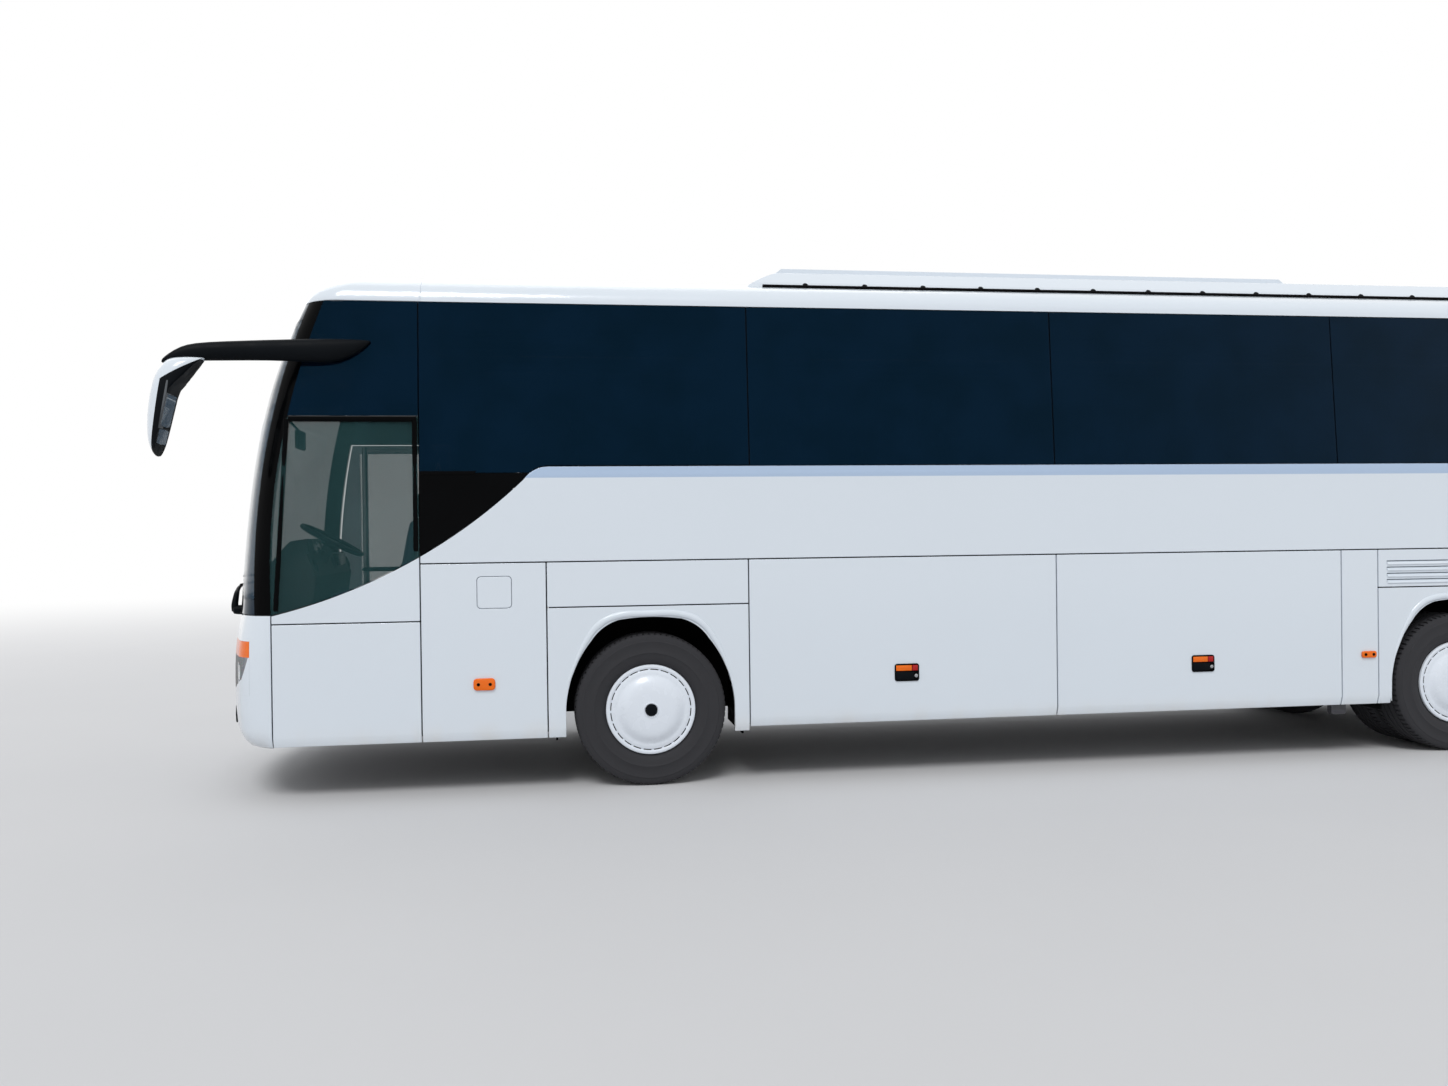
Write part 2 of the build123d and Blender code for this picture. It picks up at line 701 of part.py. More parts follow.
with BuildPart() as side_panels_left:
    with BuildPart(mode=Mode.PRIVATE) as cab_panel:
        add(side_wall(-1, corner_seam_x + panel_gap / 2, cab_seam_x - panel_gap / 2,
                      cab_line_z + panel_gap / 2, sweep_middle[1], panel_wall))
        with BuildSketch(Plane.XZ):
            add(below_sweep(-panel_gap / 2))
        extrude(amount=2 * half_width, both=True, mode=Mode.INTERSECT)
    add(cab_panel.part)
    add(side_panel(-1, corner_seam_x, cab_seam_x, front_skirt_z, cab_line_z))
    with BuildPart(mode=Mode.PRIVATE) as filler_flap_panel:
        add(side_panel(-1, cab_seam_x, front_axle_x - arch_seam_before, front_skirt_z, panel_line_z))
        add(flap_pocket(), mode=Mode.SUBTRACT)
        with Locations(((flap_start_x + flap_end_x) / 2, -half_width, (flap_low_z + flap_high_z) / 2)):
            Box(flap_end_x - flap_start_x - 2 * flap_rim, 3 * panel_wall,
                flap_high_z - flap_low_z - 2 * flap_rim, mode=Mode.SUBTRACT)
    add(filler_flap_panel.part)
    add(belt_panel(-1, cab_seam_x + panel_gap / 2))
    add(side_panel(-1, front_axle_x - arch_seam_before, bay_start_x, front_arch_line_z, panel_line_z))
    add(arch_panel(-1, front_axle_x, front_axle_x - arch_seam_before, bay_start_x, front_skirt_z,
                   front_arch_line_z))
    add(side_panel(-1, bay_end_x, rear_arch_seam_x, skirt_z, panel_line_z))
    add(grille_panel(-1))
    add(arch_panel(-1, rear_axle_x, rear_arch_seam_x, rear_arch_end_x, skirt_z, rear_arch_line_z))
    add(side_panel(-1, rear_arch_end_x, tail_seam_x, skirt_z, rear_arch_line_z))
side_panels_left.part.label = "side_panels_left"
export_step(side_panels_left.part, "parts/side_panels_left.step")

with BuildPart() as side_panels_right:
    add(side_wall(1, corner_seam_x + panel_gap / 2, front_door_x, front_skirt_z, mask_top_z, panel_wall,
                  fold=skirt_fold_depth))
    add(side_panel(1, cab_seam_x, front_axle_x - arch_seam_before, front_skirt_z, panel_line_z))
    with BuildPart(mode=Mode.PRIVATE) as door_belt_panel:
        add(belt_panel(1, cab_seam_x + panel_gap / 2))
        add(x_region(middle_door_x, middle_door_x + door_width), mode=Mode.SUBTRACT)
    add(door_belt_panel.part)
    add(side_panel(1, front_axle_x - arch_seam_before, bay_start_x, front_arch_line_z, panel_line_z))
    add(arch_panel(1, front_axle_x, front_axle_x - arch_seam_before, bay_start_x, front_skirt_z,
                   front_arch_line_z))
    add(side_wall(1, middle_door_x + door_width, bay_end_x - panel_gap / 2, skirt_z,
                  panel_line_z - panel_gap / 2, panel_wall, fold=skirt_fold_depth))
    add(side_panel(1, bay_end_x, rear_arch_seam_x, skirt_z, panel_line_z))
    add(grille_panel(1))
    add(arch_panel(1, rear_axle_x, rear_arch_seam_x, rear_arch_end_x, skirt_z, rear_arch_line_z))
    add(side_panel(1, rear_arch_end_x, tail_seam_x, skirt_z, rear_arch_line_z))
side_panels_right.part.label = "side_panels_right"
export_step(side_panels_right.part, "parts/side_panels_right.step")

# Fuel filler flap in the left side
with BuildPart() as fuel_flap:
    with Locations(((flap_start_x + flap_end_x) / 2, flap_thickness / 2 - half_width,
                    (flap_low_z + flap_high_z) / 2)):
        Box(flap_end_x - flap_start_x, flap_thickness, flap_high_z - flap_low_z)
    fillet(fuel_flap.edges().filter_by(Axis.Y), radius=flap_rim)
fuel_flap.part.label = "fuel_flap"
export_step(fuel_flap.part, "parts/fuel_flap.step")

# Four luggage doors: side, start, end
luggage_doors = (
    ("luggage_door_left_front", -1, bay_start_x, bay_middle_x),
    ("luggage_door_left_rear", -1, bay_middle_x, bay_end_x),
    ("luggage_door_right_front", 1, bay_start_x, bay_middle_x),
    ("luggage_door_right_rear", 1, bay_middle_x, middle_door_x),
)
for name, side, start_x, end_x in luggage_doors:
    with BuildPart() as luggage_door:
        add(side_panel(side, start_x, end_x, skirt_z, panel_line_z))
    luggage_door.part.label = name
    export_step(luggage_door.part, f"parts/{name}.step")

# Entry doors: each leaf is carried by a turning post with two arms, and stays parallel to the side
door_arm_low_z = 640.0
door_arm_width = 36.0
door_arm_height = 26.0
door_eye_radius = 24.0
door_pillar_gap = 14.0
door_window_low_z = 1180.0
door_window_rise = 60.0
door_window_border = 70.0
door_glass_thickness = 16.0
door_bracket_height = 24.0
stair_floor_z = 430.0


def door_leaf(start_x, high_z):
    """Leaf with its window cut out; its upper front edge follows the pillar where it meets it."""
    end_x = start_x + door_width - panel_gap
    with BuildPart() as leaf:
        add(side_wall(1, min(start_x + panel_gap, pillar_foot[0]) if start_x == front_door_x
                      else start_x + panel_gap, end_x, door_low_z, high_z, panel_wall))
        with BuildSketch(Plane.XZ):
            add(ahead_of_pillar(-door_pillar_gap))
        extrude(amount=2 * half_width, both=True, mode=Mode.SUBTRACT)
        add(x_region(nose_x, start_x + panel_gap, 0.0, mask_top_z + panel_gap), mode=Mode.SUBTRACT)
    return leaf.part


def door_window(start_x, high_z, clearance):
    """Prism through the leaf where its window is."""
    low_z = door_window_low_z + clearance
    with BuildPart() as window:
        add(x_region(
            start_x + panel_gap + door_window_border + clearance,
            start_x + door_width - panel_gap - door_window_border - clearance,
            low_z, high_z - door_window_border - clearance,
        ))
        if start_x == front_door_x:
            with BuildSketch(Plane.XZ):
                add(below_sweep(door_window_rise + clearance))
            extrude(amount=2 * half_width, both=True, mode=Mode.SUBTRACT)
    return window.part


# Entry doors: name, start, top, direction from the post to the leaf's pin along the body
entry_doors = (
    ("front", front_door_x, cab_glass_top_z, 1),
    ("middle", middle_door_x, sill_z - panel_gap, -1),
)
for name, start_x, high_z, reach in entry_doors:
    post_x = start_x + door_post_inset if reach > 0 else start_x + door_width - door_post_inset
    pin_x = post_x + reach * door_arm_length
    arm_levels = (door_arm_low_z, high_z - door_window_border + door_arm_height)
    with BuildPart() as entry_arm:
        with Locations((post_x, door_post_half, stair_floor_z + seat_gap)):
            Cylinder(
                door_post_radius, arm_levels[1] + door_arm_height - stair_floor_z,
                align=(Align.CENTER, Align.CENTER, Align.MIN),
            )
        for z in arm_levels:
            with Locations(((post_x + pin_x) / 2, door_post_half, z)):
                Box(door_arm_length, door_arm_width, door_arm_height)
            with Locations((pin_x, door_post_half, z)):
                Cylinder(door_eye_radius, door_arm_height)
                Cylinder(door_pin_radius + running_gap, door_arm_height, mode=Mode.SUBTRACT)
    entry_arm.part.label = f"entry_arm_{name}"
    export_step(entry_arm.part, f"parts/entry_arm_{name}.step")

    with BuildPart() as entry_door:
        add(door_leaf(start_x, high_z))
        add(door_window(start_x, high_z, 0.0), mode=Mode.SUBTRACT)
        for z in arm_levels:
            bracket_z = z + door_arm_height / 2 + seat_gap
            bracket_depth = face_half(bracket_z) - panel_wall / 2 - door_post_half
            with Locations((pin_x, door_post_half, bracket_z)):
                Box(2 * door_eye_radius, bracket_depth, door_bracket_height,
                    align=(Align.CENTER, Align.MIN, Align.MIN))
                Cylinder(door_eye_radius, door_bracket_height, align=(Align.CENTER, Align.CENTER, Align.MIN))
            with Locations((pin_x, door_post_half, bracket_z)):
                Cylinder(door_pin_radius, door_arm_height + seat_gap,
                         align=(Align.CENTER, Align.CENTER, Align.MAX))
    entry_door.part.label = f"entry_door_{name}"
    export_step(entry_door.part, f"parts/entry_door_{name}.step")

    with BuildPart() as entry_glass:
        add(side_wall(1, pillar_foot[0] if reach > 0 else start_x, start_x + door_width, door_low_z, high_z,
                      door_glass_thickness, recess=(panel_wall - door_glass_thickness) / 2))
        add(door_window(start_x, high_z, seat_gap), mode=Mode.INTERSECT)
    entry_glass.part.label = f"entry_glass_{name}"
    export_step(entry_glass.part, f"parts/entry_glass_{name}.step")

# Wheel houses: a box over each wheel, open below and towards the arch
with BuildPart() as wheel_arches:
    for side in (-1, 1):
        for axle_x, half_length, inner_half in (
            (front_axle_x, front_house_half_length, front_house_inner_half),
            (rear_axle_x, rear_house_half_length, rear_house_inner_half),
        ):
            outer_y, inner_y = side * frame_half, side * inner_half
            low_y, high_y = sorted((outer_y, inner_y))
            add(box_between(
                (axle_x - half_length - house_wall, low_y, skirt_z + floor_plate + seat_gap),
                (axle_x + half_length + house_wall, high_y, house_top_z),
            ))
            low_y, high_y = sorted((side * half_width, inner_y + side * house_wall))
            add(box_between(
                (axle_x - half_length, low_y, 0.0),
                (axle_x + half_length, high_y, house_top_z - house_wall),
            ), mode=Mode.SUBTRACT)
            with Locations((axle_x, inner_y, axle_notch_top_z / 2)):
                Box(2 * axle_notch_half, 4 * house_wall, axle_notch_top_z, mode=Mode.SUBTRACT)
wheel_arches.part.label = "wheel_arches"
export_step(wheel_arches.part, "parts/wheel_arches.step")

# Stairs on the right side: outer edge of each step and its height, from the doorway inwards
front_steps = ((880.0, 640.0), (560.0, 820.0))
middle_steps = ((1014.0, 640.0), (794.0, 850.0), (574.0, 1060.0), (354.0, 1270.0))
front_stair_half = 240.0
middle_stair_half = 140.0
aisle_half = 230.0
aisle_steps = ((560.0, 1160.0), (280.0, 1320.0))
deck_end_x = tail_x - 380.0
cab_floor_x = corner_seam_x + 60.0
stair_wall = 30.0

# Floors: the passenger deck, the driver's platform, the steps between them and the stairs
with BuildPart() as cabin_floor:
    riser_x = cab_seam_x - floor_plate / 2
    stair_end_x = middle_door_x + door_width
    for start_x, end_x, right_half in ((riser_x, middle_door_x - seat_gap, frame_half),
                                       (middle_door_x, stair_end_x - seat_gap, middle_stair_half),
                                       (stair_end_x, deck_end_x, frame_half)):
        add(box_between((start_x, -frame_half, deck_z - floor_plate), (end_x, right_half, deck_z)))
    add(box_between((riser_x, -frame_half, platform_z - floor_plate),
                    (riser_x + floor_plate, frame_half, deck_z - floor_plate - seat_gap)))
    add(box_between((riser_x, frame_half - floor_plate, platform_z - floor_plate),
                    (cab_seam_x + panel_gap / 2, half_width, deck_z)), mode=Mode.SUBTRACT)
    add(box_between(
        (cab_floor_x, -frame_half, platform_z - floor_plate),
        (riser_x - seat_gap, front_stair_half, platform_z),
    ))
    for reach, top_z in aisle_steps:
        add(box_between(
            (riser_x - reach, -aisle_half, platform_z + seat_gap),
            (riser_x - reach + aisle_steps[-1][0] - seat_gap, aisle_half, top_z),
        ))
    step_inner = (front_steps[1][0], front_stair_half)
    for (outer_half, top_z), inner_half in zip(front_steps, step_inner):
        add(box_between(
            (front_door_x + panel_gap, inner_half + seat_gap, stair_floor_z + seat_gap),
            (riser_x - seat_gap, outer_half, top_z),
        ))
    step_inner = [outer_half for outer_half, top_z in middle_steps[1:]] + [middle_stair_half]
    for (outer_half, top_z), inner_half in zip(middle_steps, step_inner):
        add(box_between(
            (middle_door_x + seat_gap, inner_half + seat_gap, stair_floor_z + seat_gap),
            (stair_end_x - seat_gap, outer_half, top_z),
        ))
cabin_floor.part.label = "cabin_floor"
export_step(cabin_floor.part, "parts/cabin_floor.step")

# Frame under the cabin: floors of the nose and the luggage bays, bulkheads, rails and towing sockets
nose_floor_start_x = nose_x + 330.0
nose_floor_half = 1000.0
beam_width = 80.0
cross_beams = (
    front_axle_x - front_house_half_length, front_axle_x + front_house_half_length - beam_width,
    rear_axle_x - rear_house_half_length, rear_axle_x + rear_house_half_length - beam_width,
)
socket_radius = 18.0
socket_length = 90.0
socket_point = 10.8
socket_tube_radius = 45.0
socket_reach = 194.7
head_plate = 90.0
engine_end_x = tail_x - 420.0
with BuildPart() as underframe:
    floor_low_z = stair_floor_z - floor_plate
    front_house_start_x = front_axle_x - front_house_half_length - house_wall
    add(box_between((corner_seam_x, -frame_half, floor_low_z),
                    (front_house_start_x - seat_gap, frame_half, stair_floor_z)))
    add(box_between((front_door_x, frame_half - panel_gap, floor_low_z),
                    (cab_seam_x + panel_gap / 2, half_width, stair_floor_z)), mode=Mode.SUBTRACT)
    add(box_between((nose_floor_start_x, -nose_floor_half, floor_low_z),
                    (corner_seam_x - seat_gap, nose_floor_half, stair_floor_z)))
    add(box_between((bay_start_x, -frame_half, floor_low_z), (bay_end_x, frame_half, stair_floor_z)))
    for x, inner in ((bay_start_x, -frame_half), (bay_middle_x, -frame_half), (bay_end_x, -frame_half),
                     (middle_door_x - stair_wall, middle_stair_half - stair_wall)):
        width = stair_wall if x == middle_door_x - stair_wall else floor_plate
        start_x = x if x == middle_door_x - stair_wall else x - floor_plate / 2
        add(box_between((start_x, inner, stair_floor_z + seat_gap),
                        (start_x + width, frame_half, deck_z - floor_plate - seat_gap)))
    add(box_between(
        (middle_door_x + seat_gap, middle_stair_half - stair_wall, stair_floor_z + seat_gap),
        (bay_end_x - floor_plate / 2 - seat_gap, middle_stair_half, deck_z - floor_plate - seat_gap),
    ))
    for side in (-1, 1):
        low_y, high_y = sorted((side * rail_inner_half, side * rail_outer_half))
        add(box_between((cab_seam_x, low_y, rail_low_z),
                        (bay_start_x - floor_plate / 2 - seat_gap, high_y, rail_high_z)))
        add(box_between((bay_end_x + floor_plate / 2 + seat_gap, low_y, rail_low_z),
                        (tail_seam_x, high_y, rail_high_z)))
        outrigger_x = rear_axle_x + rear_house_half_length + house_wall + seat_gap
        for start_x in (outrigger_x, tail_seam_x - beam_width):
            low_y, high_y = sorted((side * (rail_outer_half + seat_gap), side * frame_half))
            add(box_between((start_x, low_y, rail_low_z), (start_x + beam_width, high_y, rail_high_z)))
    for start_x in cross_beams:
        add(box_between((start_x, -frame_half, house_top_z + seat_gap),
                        (start_x + beam_width, frame_half, deck_z - floor_plate - seat_gap)))
    add(box_between((engine_end_x + seat_gap, -rail_outer_half, socket_z - socket_tube_radius),
                    (engine_end_x + head_plate, rail_outer_half, rail_low_z - seat_gap)))
    add(box_between((nose_floor_start_x, -socket_tube_radius, stair_floor_z + seat_gap),
                    (nose_floor_start_x + head_plate, socket_tube_radius, socket_z + socket_tube_radius)))
    for root_x, direction in ((nose_floor_start_x - seat_gap, -1), (engine_end_x + head_plate + seat_gap, 1)):
        with Locations((root_x + direction * socket_reach / 2, 0, socket_z)):
            Cylinder(socket_tube_radius, socket_reach, rotation=(0, 90, 0))
        with Locations((root_x + direction * (socket_reach - socket_length / 2), 0, socket_z)):
            Cylinder(socket_radius, socket_length, rotation=(0, 90, 0), mode=Mode.SUBTRACT)
        with Locations((root_x + direction * (socket_reach - socket_length - socket_point / 2), 0, socket_z)):
            Cone(socket_radius, 0, socket_point, rotation=(0, -direction * 90, 0), mode=Mode.SUBTRACT)
underframe.part.label = "underframe"
export_step(underframe.part, "parts/underframe.step")

# Engine: one plain block between the rear rails
engine_start_x = rear_axle_x + 1250.0
engine_low_z = 460.0
engine_high_z = 1330.0
with BuildPart() as engine_block:
    add(box_between((engine_start_x, seat_gap - rail_inner_half, engine_low_z),
                    (engine_end_x, rail_inner_half - seat_gap, engine_high_z)))
engine_block.part.label = "engine_block"
export_step(engine_block.part, "parts/engine_block.step")

# Front axle: a drop beam with an eye for each kingpin, and the air springs that carry the body
eye_radius = 45.0
eye_half_height = 75.0
beam_half = 50.0
knuckle_sweep_radius = 151.0
beam_neck = 235.0
beam_low_z = wheel_radius - 70.0
beam_high_z = wheel_radius + 30.0
spring_radius = 92.0
spring_half = (rail_inner_half + rail_outer_half) / 2
with BuildPart() as front_axle:
    with BuildPart(mode=Mode.PRIVATE) as beam:
        add(box_between((front_axle_x - beam_half, -kingpin_half, beam_low_z),
                        (front_axle_x + beam_half, kingpin_half, beam_high_z)))
        for side in (-1, 1):
            with Locations((front_axle_x, side * kingpin_half, wheel_radius)):
                Cylinder(knuckle_sweep_radius, 4 * eye_half_height, mode=Mode.SUBTRACT)
    add(beam.part)
    for side in (-1, 1):
        low_y, high_y = sorted((side * kingpin_half, side * (kingpin_half - beam_neck)))
        add(box_between((front_axle_x - eye_radius / 2, low_y, beam_low_z),
                        (front_axle_x + eye_radius / 2, high_y, beam_high_z)))
        with Locations((front_axle_x, side * kingpin_half, wheel_radius)):
            Cylinder(eye_radius, 2 * eye_half_height)
            Cylinder(kingpin_radius + running_gap, 4 * eye_half_height, mode=Mode.SUBTRACT)
        with Locations((front_axle_x, side * spring_half, beam_high_z)):
            Cylinder(spring_radius, rail_low_z - seat_gap - beam_high_z,
                     align=(Align.CENTER, Align.CENTER, Align.MIN))
front_axle.part.label = "front_axle"
export_step(front_axle.part, "parts/front_axle.step")

# Rear axle: a tube with the drive housing, and a beam with two air springs under each rail
axle_tube_radius = 80.0
axle_tube_half = 900.0
housing_radius = 210.0
housing_half = 190.0
spring_reach = 430.0
spring_beam_half = 40.0
with BuildPart() as rear_axle:
    for radius, half_length in ((axle_tube_radius, axle_tube_half), (housing_radius, housing_half),
                                (drive_spindle_radius, twin_outer_half + spindle_end)):
        with Locations((rear_axle_x, 0, wheel_radius)):
            Cylinder(radius, 2 * half_length, rotation=(90, 0, 0))
    for side in (-1, 1):
        with Locations((rear_axle_x, side * spring_half, wheel_radius)):
            Box(2 * (spring_reach + spring_radius), 2 * spring_beam_half, 2 * spring_beam_half)
        for reach in (-spring_reach, spring_reach):
            with Locations((rear_axle_x + reach, side * spring_half, wheel_radius)):
                Cylinder(spring_radius, rail_low_z - seat_gap - wheel_radius,
                         align=(Align.CENTER, Align.CENTER, Align.MIN))
rear_axle.part.label = "rear_axle"
export_step(rear_axle.part, "parts/rear_axle.step")

# Steering knuckles: a fork round the kingpin eye, the pin, and the wheel spindle
fork_plate = 30.0
fork_half = 45.0
fork_reach = 58.0
web_thickness = 18.0
for name, side in (("left", -1), ("right", 1)):
    with BuildPart() as knuckle:
        fork_z = eye_half_height + seat_gap
        for sign in (-1, 1):
            plate_z = wheel_radius + sign * (fork_z + fork_plate / 2)
            with Locations((front_axle_x, side * kingpin_half, plate_z)):
                Cylinder(eye_radius, fork_plate)
            with Locations((front_axle_x, side * (kingpin_half + fork_reach / 2), plate_z)):
                Box(2 * fork_half, fork_reach, fork_plate)
        with Locations((front_axle_x, side * (kingpin_half + fork_reach + web_thickness / 2), wheel_radius)):
            Box(2 * fork_half, web_thickness, 2 * (fork_z + fork_plate))
        with Locations((front_axle_x, side * kingpin_half, wheel_radius)):
            Cylinder(kingpin_radius, 2 * (fork_z + fork_plate))
        spindle_start = kingpin_half + fork_reach + web_thickness / 2
        spindle_length = front_track_half + spindle_end - spindle_start
        with Locations((front_axle_x, side * (spindle_start + spindle_length / 2), wheel_radius)):
            Cylinder(spindle_radius, spindle_length, rotation=(90, 0, 0))
    knuckle.part.label = f"knuckle_{name}"
    export_step(knuckle.part, f"parts/knuckle_{name}.step")


def turned(axle_x, centre_half, side, points):
    """Ring or disc turned about the wheel's axis; points are distance outboard and radius."""
    with BuildPart() as ring:
        with BuildSketch(Plane.YZ.offset(axle_x)):
            with BuildLine():
                Polyline([(side * (centre_half + s), wheel_radius + r) for s, r in points], close=True)
            make_face()
        revolve(axis=Axis((axle_x, 0, wheel_radius), (0, 1, 0)))
    return ring.part


# Tyre section: distance from the middle plane, radius
tyre_flank = (
    (122.0, wheel_radius), (143.0, wheel_radius - 24.0), (tyre_half_width, 410.0), (136.0, 328.0),
    (114.0, 308.0), (114.0, tyre_bore),
)
tyre_section = tyre_flank + tuple((-s, r) for s, r in reversed(tyre_flank))
rim_radius = tyre_bore - seat_gap
neck_radius = tyre_bore - 10.0
well_radius = 262.0
flange_radius = 303.0
hub_radius = 110.0
hub_start = -54.0
web_face = 84.0
web_bevel = 14.0
web_bevel_drop = 20.0
spindle_clearance = 4.0
flange_start = 118.0
flange_end = 128.0
seat_half = 116.0
# Rim, hub and round cover of the wheel: distance outboard of the tyre's middle plane, radius
cover_section = (
    (168.0, 0.0), (168.0, 40.0), (160.0, 46.0), (157.0, 100.0), (146.0, 185.0), (139.0, 262.0),
    (136.0, 300.0), (flange_end, 305.0), (flange_start, 305.0), (seat_half, rim_radius),
)
rim_edge = ((-seat_half, rim_radius), (-flange_start, flange_radius), (-flange_end, flange_radius))
# Wheels: name, side, axle, outer tyre's middle, distance to the inner tyre, bore
wheels = (
    ("front_left", -1, front_axle_x, front_track_half, 0.0, spindle_radius),
    ("front_right", 1, front_axle_x, front_track_half, 0.0, spindle_radius),
    ("rear_left", -1, rear_axle_x, twin_outer_half, twin_pitch, drive_spindle_radius),
    ("rear_right", 1, rear_axle_x, twin_outer_half, twin_pitch, drive_spindle_radius),
)
for name, side, axle_x, centre_half, twin, bore in wheels:
    with BuildPart() as tyre:
        add(turned(axle_x, centre_half, side, tyre_section))
        if twin:
            add(turned(axle_x, centre_half - twin, side, tyre_section))
    tyre.part.label = f"tyre_{name}"
    export_step(tyre.part, f"parts/tyre_{name}.step")

    inner_rim = ()
    if twin:
        inner_rim = ((-flange_end, neck_radius), (flange_end - twin, neck_radius)) + tuple(
            (-s - twin, r) for s, r in reversed(rim_edge)
        ) + tuple((s - twin, r) for s, r in rim_edge)
    spindle_room = spindle_end + spindle_clearance
    hub = (
        (-flange_end - twin, well_radius), (web_face - web_bevel, well_radius),
        (web_face, well_radius - web_bevel_drop), (web_face, hub_radius), (hub_start, hub_radius),
        (hub_start, bore + running_gap), (spindle_room, bore + running_gap), (spindle_room, 0.0),
    )
    with BuildPart() as rim:
        add(turned(axle_x, centre_half, side, cover_section + rim_edge + inner_rim + hub))
    rim.part.label = f"rim_{name}"
    export_step(rim.part, f"parts/rim_{name}.step")

# Dashboard across the cab, with the steering column's cowl on the left
dash_start_x = nose_x + 330.0
dash_end_x = nose_x + 640.0
dash_low_z = platform_z + seat_gap
dash_high_z = 1600.0
dash_half = 1130.0
hood_half = 260.0
hood_high_z = 1700.0
dash_lip = 60.0
dash_knee_drop = 150.0
dash_brow_drop = 90.0
dash_toe_height = 60.0
dash_foot_height = 120.0
hood_foot_drop = 100.0
hood_slope = 160.0
hood_brow_drop = 15.0
hood_setback = 40.0
hood_rear_setback = 10.0
steering_x = nose_x + 720.0
steering_half = 650.0
steering_z = 1690.0
steering_rake = 28.0
steering_radius = 235.0
steering_rim = 16.0
steering_hub_radius = 60.0
steering_hub_depth = 50.0
column_radius = 38.0
column_length = 330.0
steering_plane = Plane(origin=(steering_x, -steering_half, steering_z), x_dir=(0, 1, 0),
                       z_dir=(sin(radians(steering_rake)), 0, cos(radians(steering_rake))))
with BuildPart() as dashboard:
    with BuildSketch(Plane.XZ):
        with BuildLine():
            Polyline(
                (cab_floor_x, dash_low_z), (dash_end_x, dash_low_z),
                (dash_end_x + dash_lip, dash_high_z - dash_knee_drop), (dash_end_x, dash_high_z),
                (dash_start_x, dash_high_z - dash_brow_drop), (dash_start_x, dash_low_z + dash_foot_height),
                (cab_floor_x, dash_low_z + dash_toe_height), close=True,
            )
        make_face()
    extrude(amount=dash_half, both=True)
    add(x_region(nose_x, steering_x, 0.0, 2 * deck_z, front_stair_half, half_width), mode=Mode.SUBTRACT)
    with BuildSketch(Plane.XZ.offset(steering_half)):
        with BuildLine():
            Polyline(
                (dash_start_x, dash_high_z - hood_foot_drop),
                (dash_start_x + hood_slope, hood_high_z - hood_brow_drop),
                (dash_end_x - hood_setback, hood_high_z),
                (dash_end_x - hood_rear_setback, dash_high_z - hood_foot_drop), close=True,
            )
        make_face()
    extrude(amount=hood_half, both=True)
    with BuildSketch(steering_plane.offset(-steering_hub_depth - seat_gap)):
        Circle(column_radius)
    extrude(amount=-column_length)
dashboard.part.label = "dashboard"
export_step(dashboard.part, "parts/dashboard.step")

with BuildPart() as steering_wheel:
    with BuildSketch(Plane(origin=steering_plane.origin, x_dir=steering_plane.z_dir,
                           z_dir=(0, 1, 0))):
        with Locations((0, steering_radius - steering_rim)):
            Circle(steering_rim)
    revolve(axis=Axis(steering_plane.origin, steering_plane.z_dir))
    with BuildSketch(steering_plane.offset(-steering_hub_depth)):
        Circle(steering_hub_radius)
    extrude(amount=steering_hub_depth)
    with BuildSketch(steering_plane.offset(-steering_rim)):
        with PolarLocations(steering_radius / 2, 3, start_angle=60):
            Rectangle(steering_radius, 2 * steering_rim)
        Circle(steering_radius - steering_rim, mode=Mode.INTERSECT)
    extrude(amount=steering_rim)
steering_wheel.part.label = "steering_wheel"
export_step(steering_wheel.part, "parts/steering_wheel.step")

# Seats: the driver's seat, and pairs of passenger seats in rows along both sides
seat_pitch = 800.0
seat_row_count = 12
seat_first_x = cab_seam_x + 420.0
cushion_length = 460.0
cushion_height = 440.0
driver_cushion_height = 330.0
back_thickness = 120.0
back_rake = 110.0
back_height = 700.0
back_taper = 40.0
cushion_thickness = 140.0
seat_inner_half = aisle_half
seat_outer_half = 1120.0
driver_seat_x = steering_x + 15.0
driver_seat_half_width = 250.0


def seat_solids(x, floor_z, height, low_y, high_y):
    """Cushion on its base, and the raked back just behind it."""
    back_x = x + cushion_length + seat_gap
    top_z = floor_z + height
    with BuildPart() as solids:
        add(box_between((x, low_y, floor_z + seat_gap), (x + cushion_length, high_y, top_z)))
        with BuildSketch(Plane.XZ.offset(-low_y)):
            with BuildLine():
                Polyline(
                    (back_x, top_z - cushion_thickness), (back_x + back_thickness, top_z - cushion_thickness),
                    (back_x + back_thickness + back_rake, top_z + back_height),
                    (back_x + back_rake + back_taper, top_z + back_height), close=True,
                )
            make_face()
        extrude(amount=low_y - high_y)
    return solids.part


with BuildPart() as seats:
    add(seat_solids(driver_seat_x, platform_z, driver_cushion_height, -steering_half - driver_seat_half_width,
                    driver_seat_half_width - steering_half))
    for side in (-1, 1):
        low_y, high_y = sorted((side * seat_inner_half, side * seat_outer_half))
        for i in range(seat_row_count):
            x = seat_first_x + i * seat_pitch
            over_stairs = side > 0 and middle_door_x - seat_pitch < x < middle_door_x + door_width
            if not over_stairs:
                add(seat_solids(x, deck_z, cushion_height, low_y, high_y))
seats.part.label = "seats"
export_step(seats.part, "parts/seats.step")

# Mirrors: a long curved arm over each side of the windscreen, and the hanging head
arm_rear_half = half_width - 60.0
arm_front_half = half_width + 125.0
arm_thickness = 110.0
arm_end_margin = 20.0
head_low_half = half_width + 5.0
head_high_half = half_width + 255.0


def mirror_point(x, z):
    """Point of the mirror seen from the side: distance behind the nose, height."""
    return (nose_x + x, z)


